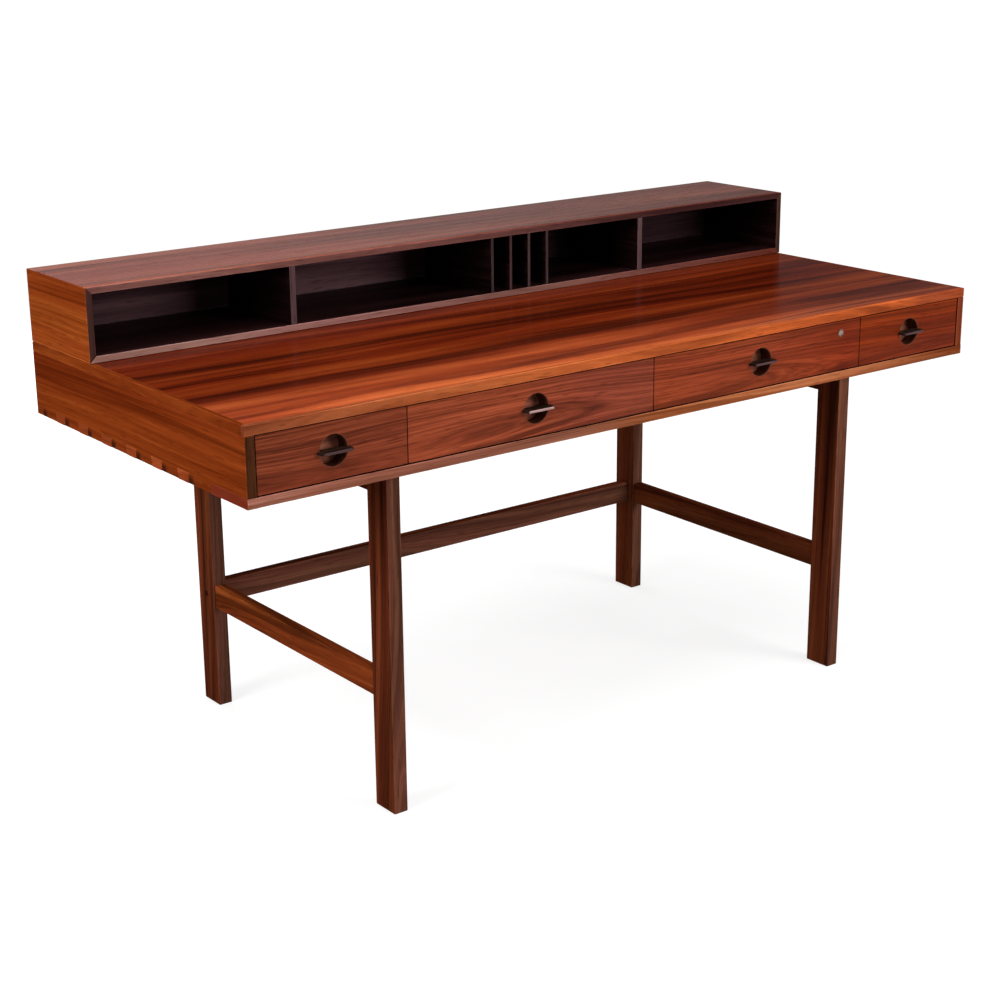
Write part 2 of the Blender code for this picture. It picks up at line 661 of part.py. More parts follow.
def build_gallery(gallery):
    """The pigeonhole box: four mitred boards, a back, two thick dividers and the thin slot dividers."""
    mitred_x("gallery_top", GALLERY_HIGH - GALLERY_BOARD, GALLERY_HIGH, gallery, True)
    bottom = mitred_x("gallery_bottom", GALLERY_LOW, GALLERY_LOW + GALLERY_BOARD, gallery, False)
    for hinge_x in (-HINGE_X, HINGE_X):
        combine(bottom, leaf_pocket(1, hinge_x), 'DIFFERENCE')

    low_z = GALLERY_LOW + GLUE_GAP / 2
    high_z = GALLERY_HIGH - GLUE_GAP / 2
    for name, hand in (("left", -1), ("right", 1)):
        outer = hand * WIDTH / 2
        inner = hand * (WIDTH / 2 - GALLERY_BOARD)
        outline = [
            (outer, low_z),
            (outer, high_z),
            (inner, high_z - GALLERY_BOARD),
            (inner, low_z + GALLERY_BOARD),
        ]
        shape = bmesh.new()
        near = [(x, GALLERY_FRONT_Y, z) for x, z in outline]
        far = [(x, BACK_Y, z) for x, z in outline]
        add_prism(shape, near, far)
        add_piece(f"gallery_side_{name}", shape, ROSEWOOD_CASE, gallery, BOARD_EASE, 2)

    inner_low = GALLERY_LOW + GALLERY_BOARD + GLUE_GAP
    inner_high = GALLERY_HIGH - GALLERY_BOARD - GLUE_GAP
    reach = WIDTH / 2 - GALLERY_BOARD - GLUE_GAP
    low = (-reach, BACK_Y - GALLERY_BACK_THICK, inner_low)
    high = (reach, BACK_Y, inner_high)
    add_board("gallery_back", low, high, ROSEWOOD_INSIDE, gallery, BOX_EASE)

    first_slot = SLOTS_OFFSET - SLOT_PITCH * SLOT_COUNT / 2
    thick_x = WIDTH / 2 - GALLERY_BOARD - OUTER_BIN_WIDTH - GALLERY_BOARD / 2
    dividers = [
        ("divider_left", -thick_x, GALLERY_BOARD),
        ("divider_right", thick_x, GALLERY_BOARD),
    ]
    for number in range(SLOT_COUNT + 1):
        dividers.append((f"slot_divider_{number + 1}", first_slot + number * SLOT_PITCH, THIN_DIVIDER))
    for name, middle, thick in dividers:
        low = (middle - thick / 2, GALLERY_FRONT_Y + DIVIDER_SETBACK, inner_low)
        high = (middle + thick / 2, BACK_Y - GALLERY_BACK_THICK - GLUE_GAP, inner_high)
        add_board(name, low, high, ROSEWOOD_INSIDE, gallery, BOX_EASE)


def knuckle_outline(side):
    """The (y, z) outline of a hinge knuckle with the tab that joins it to its leaf."""
    face = FLAP_GAP / 2
    inside = face + LEAF_THICK
    first = math.asin(inside / KNUCKLE_RADIUS)
    last = 2 * math.pi + math.asin(face / KNUCKLE_RADIUS)
    points = []
    for step in range(KNUCKLE_SIDES + 1):
        angle = first + (last - first) * step / KNUCKLE_SIDES
        points.append((KNUCKLE_RADIUS * math.cos(angle), KNUCKLE_RADIUS * math.sin(angle)))
    reach = KNUCKLE_RADIUS + KNUCKLE_CLEAR + OVERRUN
    points.append((reach, face))
    points.append((reach, inside))
    return [(FLAP_Y - along, FLAP_Z + side * away) for along, away in points]


def build_hinge(name, hinge_x, desk, gallery):
    """A brass butt hinge: outer knuckles and pin on the desk leaf, the middle one on the gallery leaf."""
    third = HINGE_LENGTH / 3
    start = hinge_x - HINGE_LENGTH / 2
    spans = [(start + third * index, start + third * (index + 1)) for index in range(3)]
    plate_edge = FLAP_Y - KNUCKLE_RADIUS - KNUCKLE_CLEAR
    for leaf, side, body, own in (("desk", -1, desk, (0, 2)), ("gallery", 1, gallery, (1,))):
        levels = sorted((FLAP_Z + side * FLAP_GAP / 2, FLAP_Z + side * (FLAP_GAP / 2 + LEAF_THICK)))
        low = (start, FLAP_Y - FLAP_GAP / 2 - LEAF_WIDTH, levels[0])
        high = (start + HINGE_LENGTH, plate_edge, levels[1])
        plate = add_board(f"hinge_{name}_{leaf}_leaf", low, high, BRASS, body, 0.0)
        shape = bmesh.new()
        for index in own:
            trim = GLUE_GAP / 2
            first_x = spans[index][0] + (trim if index > 0 else 0.0)
            last_x = spans[index][1] - (trim if index < 2 else 0.0)
            add_bar(shape, knuckle_outline(side), first_x, last_x)
        combine(plate, shape, 'UNION')
        shape = bmesh.new()
        if leaf == "desk":
            add_rod(shape, HINGE_PIN_RADIUS, FLAP_Y, FLAP_Z,
                    spans[1][0] - OVERRUN, spans[1][1] + OVERRUN, KNUCKLE_SIDES)
            combine(plate, shape, 'UNION')
        else:
            add_rod(shape, HINGE_PIN_RADIUS + PIN_CLEAR, FLAP_Y, FLAP_Z,
                    spans[1][0] - OVERRUN, spans[1][1] + OVERRUN, KNUCKLE_SIDES)
            combine(plate, shape, 'DIFFERENCE')


clear_scene()
desk_body = add_body("desk", (0.0, 0.0, 0.0))
build_base(desk_body)
build_case(desk_body)
for drawer_number in range(1, len(drawer_joints())):
    drawer_body, drawer_front = build_drawer(drawer_number, desk_body)
    if drawer_number == LOCKED_DRAWER:
        build_lock_housing(drawer_body, drawer_front)
        build_lock_works(drawer_body)
gallery_body = add_body("gallery", (0.0, FLAP_Y, FLAP_Z), desk_body)
build_gallery(gallery_body)
for hand_name, hinge_middle in (("left", -HINGE_X), ("right", HINGE_X)):
    build_hinge(hand_name, hinge_middle, desk_body, gallery_body)
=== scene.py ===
"""Looks of the rosewood partners desk: camera, studio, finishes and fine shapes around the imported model."""
import json
import math

import bpy
from mathutils import Euler, Matrix, Vector


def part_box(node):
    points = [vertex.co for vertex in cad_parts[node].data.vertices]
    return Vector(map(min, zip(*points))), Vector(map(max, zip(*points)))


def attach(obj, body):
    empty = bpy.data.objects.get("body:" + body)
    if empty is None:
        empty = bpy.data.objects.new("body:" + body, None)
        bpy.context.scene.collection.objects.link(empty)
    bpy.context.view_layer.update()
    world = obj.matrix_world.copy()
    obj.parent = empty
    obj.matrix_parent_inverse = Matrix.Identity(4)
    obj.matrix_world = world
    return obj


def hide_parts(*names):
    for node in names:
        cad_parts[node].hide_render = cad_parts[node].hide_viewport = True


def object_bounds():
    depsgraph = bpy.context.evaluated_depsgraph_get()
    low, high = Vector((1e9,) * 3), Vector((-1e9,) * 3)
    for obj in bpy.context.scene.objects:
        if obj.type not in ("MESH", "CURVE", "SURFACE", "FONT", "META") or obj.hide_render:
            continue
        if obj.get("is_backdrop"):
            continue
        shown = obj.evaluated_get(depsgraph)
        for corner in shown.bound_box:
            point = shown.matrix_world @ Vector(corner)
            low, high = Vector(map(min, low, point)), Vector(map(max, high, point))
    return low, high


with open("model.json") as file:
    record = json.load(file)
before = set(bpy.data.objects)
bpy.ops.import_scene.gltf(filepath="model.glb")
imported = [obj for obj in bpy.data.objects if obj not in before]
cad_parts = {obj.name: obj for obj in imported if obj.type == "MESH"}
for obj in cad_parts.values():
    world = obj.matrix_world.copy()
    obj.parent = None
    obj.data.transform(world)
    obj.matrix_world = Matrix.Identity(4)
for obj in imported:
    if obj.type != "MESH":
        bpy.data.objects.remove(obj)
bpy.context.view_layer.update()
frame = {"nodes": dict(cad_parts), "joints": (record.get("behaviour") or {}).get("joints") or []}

# The view of the photograph: a standing eye in front of the desk's left end, looking down on the top.
# The picture is 995 pixels high, and the focal length is written in those pixels.
PICTURE_HEIGHT = 995
FOCAL_PIXELS = 1938.8
SENSOR_WIDTH = 36.0
EYE = Vector((-2.1828, -2.7789, 1.4814))
VIEW_TURN = math.radians(37.265)
VIEW_DROP = math.radians(17.368)
VIEW_ROLL = math.radians(-0.540)
bpy.ops.object.select_all(action='DESELECT')
bpy.ops.object.camera_add()
camera = bpy.context.active_object
camera.name = "photo_camera"
camera.data.sensor_width = SENSOR_WIDTH
camera.data.lens = FOCAL_PIXELS / PICTURE_HEIGHT * SENSOR_WIDTH
turn = Matrix.Rotation(-VIEW_TURN, 4, 'Z') @ Matrix.Rotation(math.pi / 2 - VIEW_DROP, 4, 'X')
camera.matrix_world = Matrix.Translation(EYE) @ turn @ Matrix.Rotation(VIEW_ROLL, 4, 'Z')
bpy.context.scene.camera = camera
bpy.context.scene.view_settings.view_transform = "Standard"

# The studio: a white floor that keeps a faint shadow, in a room that is pale near the floor, dim above it
# and bright overhead, with a paper backdrop behind the gallery. Soft lamps stand on the left, in front on
# the right, under the ceiling and behind, all diffused so far that none is mirrored in the lacquer.
FLOOR_SIZE = 400.0
FLOOR_GLOW_NEAR = 0.74
FLOOR_GLOW_FAR = 0.86
FLOOR_NEAR = 1.5
FLOOR_FAR = 6.0
FLOOR_GREY = 0.40
ROOM_STOPS = ((0.00, 0.22), (0.165, 0.18), (0.19, 0.05), (0.60, 0.05), (0.90, 0.80))
BACKDROP_HEADING = (0.42, 0.91, 0.0)
BACKDROP_EDGE = (0.92, 0.98)
BACKDROP_TOP = (0.25, 0.17)
BACKDROP_GLOW = 0.23
LAMPS = {
    "left_softbox": ((-3.2, -0.3, 1.7), (0.0, 0.0, 0.6), 1.6, 74.0),
    "front_softbox": ((1.7, -3.5, 1.6), (0.1, 0.0, 0.6), 2.0, 94.0),
    "ceiling_softbox": ((0.0, -0.6, 3.0), (0.0, -0.1, 0.7), 2.4, 30.0),
    "back_softbox": ((0.3, 3.6, 1.3), (0.0, 0.3, 0.6), 2.0, 50.0),
}


def add_node(tree, kind, inputs=None, **settings):
    """Add a shader node; an input is a plain value or another node's output."""
    made = tree.nodes.new(kind)
    for name, value in settings.items():
        setattr(made, name, value)
    for socket, value in (inputs or {}).items():
        if isinstance(value, bpy.types.NodeSocket):
            tree.links.new(value, made.inputs[socket])
        else:
            made.inputs[socket].default_value = value
    return made


def maths(tree, operation, *values):
    """The result of one operation on values or sockets."""
    return add_node(tree, "ShaderNodeMath", dict(enumerate(values)), operation=operation).outputs[0]


def ramp(tree, value, stops):
    """A colour that runs through stops of (position, colour) as a value grows."""
    made = add_node(tree, "ShaderNodeValToRGB", {"Fac": value})
    elements = made.color_ramp.elements
    while len(elements) < len(stops):
        elements.new(1.0)
    for element, (position, colour) in zip(elements, stops):
        element.position = position
        element.color = (*colour, 1.0)
    return made.outputs["Color"]


def spread(tree, value, low, high):
    """How far a value lies between low and high, held to 0 and 1."""
    limits = {"Value": value, "From Min": low, "From Max": high}
    return add_node(tree, "ShaderNodeMapRange", limits).outputs[0]


def vector_maths(tree, operation, first, second=(0.0, 0.0, 0.0), result="Vector"):
    """The result of one operation on two vectors."""
    made = add_node(tree, "ShaderNodeVectorMath", {0: first, 1: second}, operation=operation)
    return made.outputs[result]


def new_tree(name):
    """A new material, its empty node tree and the tree's output."""
    material = bpy.data.materials.new(name)
    material.use_nodes = True
    tree = material.node_tree
    tree.nodes.clear()
    return material, tree, add_node(tree, "ShaderNodeOutputMaterial")


bpy.ops.mesh.primitive_plane_add(size=FLOOR_SIZE)
floor = bpy.context.active_object
floor.name = "studio_floor"
material, tree, output = new_tree("white_floor")
paths = add_node(tree, "ShaderNodeLightPath").outputs
seen = maths(tree, 'MAXIMUM', paths["Is Camera Ray"], paths["Is Glossy Ray"])
seen = maths(tree, 'MAXIMUM', seen, paths["Is Transmission Ray"])
reach = vector_maths(tree, 'LENGTH', add_node(tree, "ShaderNodeTexCoord").outputs["Object"], result="Value")
away = spread(tree, reach, FLOOR_NEAR, FLOOR_FAR)
level = maths(tree, 'MULTIPLY_ADD', away, FLOOR_GLOW_FAR - FLOOR_GLOW_NEAR, FLOOR_GLOW_NEAR)
glow = add_node(tree, "ShaderNodeEmission", {"Strength": maths(tree, 'MULTIPLY', seen, level)})
matt = add_node(tree, "ShaderNodeBsdfDiffuse", {"Color": (FLOOR_GREY, FLOOR_GREY, FLOOR_GREY, 1.0)})
both = add_node(tree, "ShaderNodeAddShader", {0: glow.outputs[0], 1: matt.outputs[0]})
tree.links.new(both.outputs[0], output.inputs["Surface"])
floor.data.materials.append(material)
floor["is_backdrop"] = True

world = bpy.data.worlds.new("studio_room")
bpy.context.scene.world = world
world.use_nodes = True
tree = world.node_tree
tree.nodes.clear()
look = add_node(tree, "ShaderNodeTexCoord").outputs["Generated"]
rise = add_node(tree, "ShaderNodeSeparateXYZ", {0: look}).outputs["Z"]
room = ramp(tree, rise, [(position, (level, level, level)) for position, level in ROOM_STOPS])
heading = vector_maths(tree, 'DOT_PRODUCT', look, BACKDROP_HEADING, "Value")
paper = maths(tree, 'MULTIPLY', spread(tree, heading, *BACKDROP_EDGE), spread(tree, rise, *BACKDROP_TOP))
paper = maths(tree, 'MULTIPLY', paper, BACKDROP_GLOW)
paper_glow = add_node(tree, "ShaderNodeBackground", {"Color": (1.0, 1.0, 1.0, 1.0), "Strength": paper})
room_glow = add_node(tree, "ShaderNodeBackground", {"Color": room})
both = add_node(tree, "ShaderNodeAddShader", {0: room_glow.outputs[0], 1: paper_glow.outputs[0]})
add_node(tree, "ShaderNodeOutputWorld", {"Surface": both.outputs[0]})

for name, (place, aim, size, power) in LAMPS.items():
    bpy.ops.object.light_add(type='AREA', location=place)
    lamp = bpy.context.active_object
    lamp.name = name
    lamp.data.size = size
    lamp.data.energy = power
    lamp.visible_glossy = False
    lamp.rotation_euler = (Vector(aim) - Vector(place)).to_track_quat('-Z', 'Y').to_euler()

# The base: four legs, two top rails and three stretchers of solid rosewood, darker than the case, mortised
# and glued. The wood is oiled, its pores stay open and its arrises are rubbed paler, with a painted highlight
# on them; the front faces of the legs and the long stretcher carry a painted sheen, dimmer on the rear legs.
AXES = 'XYZ'
GRAIN_TURN = {'X': (0.0, 0.0, 0.0), 'Y': (0.0, 0.0, -math.pi / 2), 'Z': (0.0, math.pi / 2, 0.0)}
ACROSS_LOG = (0.0, 1.0, 1.0)
SIDE_DRIFT = (0.0, 0.1, 0.1)
WANDER_PACE = (1.6, 7.0, 7.0)
NOISE_MIDDLE = (0.5, 0.5, 0.5)
NOISE_ROUGHNESS = 0.55
# A layer of the figure: its pace along the grain, its lines in one streak, its detail, and the noise at which
# it starts and is full.
FIGURE = {
    "broad": (1.0, 1.0, 2.0, 0.34, 0.66),
    "fine": (2.5, 5.0, 3.0, 0.30, 0.70),
    "hair": (6.0, 18.0, 1.0, 0.30, 0.70),
    "ink": (0.8, 2.4, 2.0, 0.58, 0.70),
    "warm": (0.7, 0.6, 1.0, 0.40, 0.65),
}
FINE_SHARE = 0.65
HAIR_SHARE = 0.35
TONE_STOPS = (0.14, 0.50, 0.86)
WARMTH = (1.30, 1.75, 1.50)
INK_DEPTH = 0.6
INK_SHARE = 0.6
PORES = (28.0, 620.0, 620.0)
PORE_LIMITS = (0.66, 0.74)
PORE_SHARE = 0.45
PORE_DEPTH = 0.0002
PORE_BUMP = 0.15
PORE_DULLNESS = 0.15
# Arrises are rubbed paler, and the paler colour also stands in for a painted highlight along them.
RUBBED_AND_HIGHLIT = (1.8, 2.0, 2.2)
RUB_AND_HIGHLIGHT_WIDTH = 0.0020
RUB_AND_HIGHLIGHT_PATCHES = (40.0, 40.0, 40.0)
LACQUER_IOR = 1.5
SKIN = 0.0004
FAR = 9.0
BASE_CUT = {"streak": 0.014, "tilt": 0.03, "wander": 0.04, "bold": 0.6}
LEG_TONES = ((0.034, 0.007, 0.003), (0.105, 0.021, 0.0085), (0.185, 0.040, 0.014))
# Painted sheen on the front faces of the legs and the long stretcher, and a dimmer, shaded copy for the rear
# legs.
PAINTED_SHEEN_TONES = ((0.065, 0.021, 0.014), (0.150, 0.046, 0.029), (0.240, 0.080, 0.050))
DIM_PAINTED_SHEEN_TONES = ((0.047, 0.015, 0.010), (0.108, 0.033, 0.022), (0.173, 0.058, 0.038))
LEFT_STRETCHER_TONES = ((0.080, 0.014, 0.004), (0.220, 0.042, 0.010), (0.380, 0.085, 0.020))


def mix(tree, share, under, over):
    """One colour laid over another by a share, through the mix node's numbered colour sockets."""
    made = add_node(tree, "ShaderNodeMix", {0: share, 6: under, 7: over}, data_type='RGBA')
    return made.outputs[2]


def noise(tree, vector, frequency, detail, result="Fac"):
    """Noise with its own frequency on each axis, per metre."""
    drawn = add_node(tree, "ShaderNodeMapping", {"Vector": vector, "Scale": frequency}).outputs[0]
    made = add_node(tree, "ShaderNodeTexNoise",
                    {"Vector": drawn, "Scale": 1.0, "Detail": detail, "Roughness": NOISE_ROUGHNESS})
    return made.outputs[result]


def grain(tree, place, along, tones, heart, streak, tilt, wander, bold):
    """The colour of sawn wood and the share of open pores, with the grain along an axis.

    heart is where the origin lies in the log: a place along the grain and two distances across it from the
    log's heart. Far from the heart the grain is straight, and close to it the tilt arches it. streak is the
    width of a colour band, wander how far the bands stray, and bold the part that the broad bands have in
    the figure, beside the fine lines.
    """
    sawn = {"Vector": place, "Location": heart, "Rotation": GRAIN_TURN[along]}
    log = add_node(tree, "ShaderNodeMapping", sawn).outputs[0]
    stray = noise(tree, log, WANDER_PACE, detail=1.0, result="Color")
    lean = vector_maths(tree, 'SUBTRACT', stray, NOISE_MIDDLE)
    bent = vector_maths(tree, 'ADD', log, vector_maths(tree, 'MULTIPLY', lean, (0.0, wander, wander)))
    run = add_node(tree, "ShaderNodeSeparateXYZ", {0: bent}).outputs["X"]
    across = vector_maths(tree, 'MULTIPLY', bent, ACROSS_LOG)
    ring = vector_maths(tree, 'LENGTH', across, result="Value")
    ring = maths(tree, 'MULTIPLY_ADD', run, tilt, ring)
    side = vector_maths(tree, 'DOT_PRODUCT', bent, SIDE_DRIFT, "Value")
    flow = add_node(tree, "ShaderNodeCombineXYZ", {0: run, 1: ring, 2: side}).outputs[0]

    def layer(name):
        pace, lines, detail, start, full = FIGURE[name]
        drawn = noise(tree, flow, (pace, lines / streak, lines / streak), detail)
        return spread(tree, drawn, start, full)

    tone = maths(tree, 'MULTIPLY', layer("broad"), bold)
    tone = maths(tree, 'MULTIPLY_ADD', layer("fine"), (1 - bold) * FINE_SHARE, tone)
    tone = maths(tree, 'MULTIPLY_ADD', layer("hair"), (1 - bold) * HAIR_SHARE, tone)
    colour = ramp(tree, tone, list(zip(TONE_STOPS, tones)))
    warmer = vector_maths(tree, 'MULTIPLY', colour, WARMTH)
    colour = mix(tree, maths(tree, 'MULTIPLY', layer("warm"), bold), colour, warmer)
    inky = (*[part * INK_DEPTH for part in tones[0]], 1.0)
    colour = mix(tree, maths(tree, 'MULTIPLY', layer("ink"), INK_SHARE), colour, inky)
    pores = spread(tree, noise(tree, bent, PORES, detail=0.0), *PORE_LIMITS)
    colour = mix(tree, maths(tree, 'MULTIPLY', pores, PORE_SHARE), colour, inky)
    return colour, pores


def rubbed_and_highlit_edges(tree, place, low, high):
    """A share that is 1 on the arrises of a block and fades within a width: rubbed arrises with a painted
    highlight.
    """
    inside = vector_maths(tree, 'MINIMUM', vector_maths(tree, 'SUBTRACT', place, low),
                          vector_maths(tree, 'SUBTRACT', high, place))
    depths = add_node(tree, "ShaderNodeSeparateXYZ", {0: inside}).outputs
    smaller = maths(tree, 'MINIMUM', depths["X"], depths["Y"])
    larger = maths(tree, 'MAXIMUM', depths["X"], depths["Y"])
    second = maths(tree, 'MAXIMUM', smaller, maths(tree, 'MINIMUM', larger, depths["Z"]))
    patchy = maths(tree, 'MULTIPLY', noise(tree, place, RUB_AND_HIGHLIGHT_PATCHES, detail=2.0), RUB_AND_HIGHLIGHT_WIDTH * 2)
    return spread(tree, maths(tree, 'SUBTRACT', patchy, second), 0.0, RUB_AND_HIGHLIGHT_WIDTH)


def corners(part):
    """The lowest and highest corners of a mesh that has its place in its points."""
    points = [vertex.co for vertex in part.data.vertices]
    low = Vector([min(point[axis] for point in points) for axis in range(3)])
    high = Vector([max(point[axis] for point in points) for axis in range(3)])
    return low, high


def face_zone(node, side, along, tones, *gradients, depth=SKIN):
    """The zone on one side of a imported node, such as '-Y' for its front, with its own grain and tones."""
    end, axis = side
    low, high = (corner[AXES.index(axis)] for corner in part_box(node))
    bottom, top = (-FAR, low + depth) if end == '-' else (high - depth, FAR)
    return (axis, bottom, top, along, tones, *gradients)


def finish_wood(part, along, tones, heart, streak=0.030, tilt=0.01, wander=0.03, bold=0.5, zones=(),
                gradients=(), marks=None, rub_and_highlight=0.5, roughness=0.36, gloss=0.0, middle=None):
    """Finish one wooden part, with its grain along an axis and its middle at a place in the log.

    A gradient is an axis or a direction, the heights on it where the gradient starts and is full, and what it
    multiplies the colour by; some gradients paint light and shade. Each zone lies between two heights on an
    axis, and has a grain, tones and gradients of its own. marks is a function that gives a share, and the
    colour it is filled with.
    """
    low, high = corners(part)
    middle = (low + high) / 2 if middle is None else middle
    material, tree, output = new_tree(part.name)
    place = add_node(tree, "ShaderNodeTexCoord").outputs["Object"]
    heights = add_node(tree, "ShaderNodeSeparateXYZ", {0: place}).outputs

    def sawn(direction, shades):
        start = Vector(heart) - Euler(GRAIN_TURN[direction]).to_matrix() @ middle
        return grain(tree, place, direction, shades, start, streak, tilt, wander, bold)

    def graded(colour, axis, start, full, change):
        changed = vector_maths(tree, 'MULTIPLY', colour, change)
        if isinstance(axis, str):
            height = heights[axis]
        else:
            height = vector_maths(tree, 'DOT_PRODUCT', place, axis, "Value")
        return mix(tree, spread(tree, height, start, full), colour, changed)

    colour, pores = sawn(along, tones)
    for gradient in gradients:
        colour = graded(colour, *gradient)
    for axis, bottom, top, direction, shades, *zone_gradients in zones:
        zone_colour = sawn(direction, shades)[0]
        for gradient in zone_gradients:
            zone_colour = graded(zone_colour, *gradient)
        above = maths(tree, 'GREATER_THAN', heights[axis], bottom)
        within = maths(tree, 'MULTIPLY', above, maths(tree, 'LESS_THAN', heights[axis], top))
        colour = mix(tree, within, colour, zone_colour)
    if marks:
        shape, filling = marks
        colour = mix(tree, shape(tree, heights), colour, (*filling, 1.0))
    # Rubbed arrises, lightened also as a painted highlight.
    rubbed_and_highlit = maths(tree, 'MULTIPLY', rubbed_and_highlit_edges(tree, place, low, high), rub_and_highlight)
    colour = mix(tree, rubbed_and_highlit, colour, vector_maths(tree, 'MULTIPLY', colour, RUBBED_AND_HIGHLIT))
    dents = {"Height": pores, "Strength": PORE_BUMP, "Distance": PORE_DEPTH}
    bump = add_node(tree, "ShaderNodeBump", dents, invert=True)
    sheen = maths(tree, 'MULTIPLY_ADD', pores, PORE_DULLNESS, roughness)
    shader = add_node(tree, "ShaderNodeBsdfPrincipled",
                      {"Base Color": colour, "Roughness": sheen, "Normal": bump.outputs[0],
                       "IOR": LACQUER_IOR, "Specular IOR Level": gloss})
    tree.links.new(shader.outputs[0], output.inputs["Surface"])
    part.data.materials.clear()
    part.data.materials.append(material)


parts = frame["nodes"]
# The legs' front faces carry the painted sheen, dimmer on the rear legs.
for order, node in enumerate(("leg_front_left", "leg_front_right", "leg_rear_left", "leg_rear_right")):
    painted_sheen = PAINTED_SHEEN_TONES if "front" in node else DIM_PAINTED_SHEEN_TONES
    finish_wood(parts[node], 'Z', LEG_TONES, heart=(order * 1.7, 0.05, 0.02), **BASE_CUT,
                zones=(face_zone(node, '-Y', 'Z', painted_sheen),))
for order, node in enumerate(("top_rail_left", "top_rail_right",
                              "side_stretcher_left", "side_stretcher_right")):
    tones = LEFT_STRETCHER_TONES if node == "side_stretcher_left" else LEG_TONES
    finish_wood(parts[node], 'Y', tones, heart=(order * 1.3, 0.05, 0.03), **BASE_CUT)
# The long stretcher's front face carries the painted sheen as well.
finish_wood(parts["rear_stretcher"], 'X', LEG_TONES, heart=(3.0, 0.05, 0.03), **BASE_CUT,
            zones=(face_zone("rear_stretcher", '-Y', 'X', PAINTED_SHEEN_TONES),))

# The fixing plugs: the long stretcher is screwed through the rear legs, and a turned plug of the same wood,
# glued in over each screw, stands a hair proud of the leg's outer face.
PLUG_RADIUS = 0.0055
PLUG_PROUD = 0.0006
PLUG_ROUND = 0.0004
PLUG_SIDES = 32
PLUG_TONES = ((0.012, 0.003, 0.0015), (0.030, 0.007, 0.003), (0.055, 0.014, 0.006))
ROD_TURN = {'X': (0.0, math.pi / 2, 0.0), 'Y': (math.pi / 2, 0.0, 0.0)}
SMOOTH_ANGLE = math.radians(35)
TOUCH = 0.0001


def pick(piece):
    """Select one piece alone, and make it the active one."""
    bpy.ops.object.select_all(action='DESELECT')
    piece.select_set(True)
    bpy.context.view_layer.objects.active = piece


def settle(name):
    """Name the piece that was just added, and put its place in its mesh."""
    made = bpy.context.active_object
    made.name = made.data.name = name
    bpy.ops.object.transform_apply(location=True, rotation=True, scale=True)
    return made


def rod(name, radius, start, end, sides, axis):
    """A round rod between two points that lie on a line along an axis."""
    start, end = Vector(start), Vector(end)
    bpy.ops.object.select_all(action='DESELECT')
    bpy.ops.mesh.primitive_cylinder_add(vertices=sides, radius=radius, depth=(end - start).length,
                                        location=(start + end) / 2, rotation=ROD_TURN[axis])
    return settle(name)


def on_plane(axis, height):
    """A test for the edges that lie at one height on an axis."""
    along = AXES.index(axis)
    return lambda start, end: max(abs(start[along] - height), abs(end[along] - height)) < TOUCH


def round_edges(piece, width, steps, chosen=lambda start, end: True):
    """Round the edges that a test on their two ends picks out."""
    pick(piece)
    bpy.context.tool_settings.mesh_select_mode = (False, True, False)
    bpy.ops.object.mode_set(mode='EDIT')
    bpy.ops.mesh.select_all(action='DESELECT')
    bpy.ops.object.mode_set(mode='OBJECT')
    points = piece.data.vertices
    for edge in piece.data.edges:
        edge.select = chosen(*(points[corner].co for corner in edge.vertices))
    bpy.ops.object.mode_set(mode='EDIT')
    bpy.ops.mesh.bevel(offset=width, segments=steps, profile=0.5)
    bpy.ops.object.mode_set(mode='OBJECT')


def smooth(piece):
    """Shade a piece smooth up to its sharp edges, and its broad faces flat."""
    pick(piece)
    bpy.ops.object.shade_smooth_by_angle(angle=SMOOTH_ANGLE)
    weighting = piece.modifiers.new("weighting", 'WEIGHTED_NORMAL')
    weighting.keep_sharp = True
    bpy.ops.object.modifier_apply(modifier=weighting.name)


stretcher_low, stretcher_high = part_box("rear_stretcher")
plug_place = (stretcher_low + stretcher_high) / 2
for hand in ("left", "right"):
    leg_low, leg_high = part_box(f"leg_rear_{hand}")
    inner, outward = (leg_low.x, -1) if hand == "left" else (leg_high.x, 1)
    outer = inner + outward * PLUG_PROUD
    plug = rod(f"fixing_plug_{hand}", PLUG_RADIUS, (inner, plug_place.y, plug_place.z),
               (outer, plug_place.y, plug_place.z), PLUG_SIDES, 'X')
    round_edges(plug, PLUG_ROUND, steps=2, chosen=on_plane('X', outer))
    smooth(plug)
    finish_wood(plug, 'Z', PLUG_TONES, heart=(0.4, 0.02, 0.02), streak=0.004, rub_and_highlight=0.0)
    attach(plug, "desk")

# The case top: a veneered panel, satin lacquered, with solid lippings glued to its ends and its front edge.
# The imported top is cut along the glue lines, so that each lipping is a piece of wood with its own grain.
LIP_WIDTH = 0.008
MERGE = 0.00001
FLAT_ANGLE = math.radians(1)
TOP_TONES = ((0.044, 0.004, 0.0014), (0.140, 0.014, 0.0030), (0.245, 0.033, 0.0068))
# Painted light and shade on the top: much lighter towards the front than at the back by the gallery, and
# painted shade over the right half and at the front right corner.
TOP_FRONT_FROM = -0.17
TOP_FRONT_PAINTED_LIGHT = (2.9, 4.6, 6.4)
TOP_RIGHT_PAINTED_SHADE = ('X', -0.05, 0.65, (0.78, 0.74, 0.78))
TOP_CORNER_PAINTED_SHADE = ((0.2, -0.98, 0.0), 0.35, 0.41, (0.60, 0.62, 0.85))
LIP_END_TONES = ((0.080, 0.010, 0.0020), (0.128, 0.019, 0.0034), (0.180, 0.031, 0.0060))
SIDE_TONES = ((0.105, 0.014, 0.0028), (0.172, 0.0265, 0.0048), (0.245, 0.044, 0.0085))
LIP_TONES = ((0.130, 0.026, 0.0105), (0.240, 0.050, 0.0185), (0.340, 0.082, 0.033))
LIP_FULL_AT = 0.3
LIP_FADING = (2.15, 1.70, 1.10)
LIP_RIGHT_FADING = ('X', 0.60, 0.70, (0.50, 0.45, 0.60))
INSIDE_TONES = ((0.005, 0.0015, 0.0016), (0.018, 0.0050, 0.0055), (0.034, 0.011, 0.012))


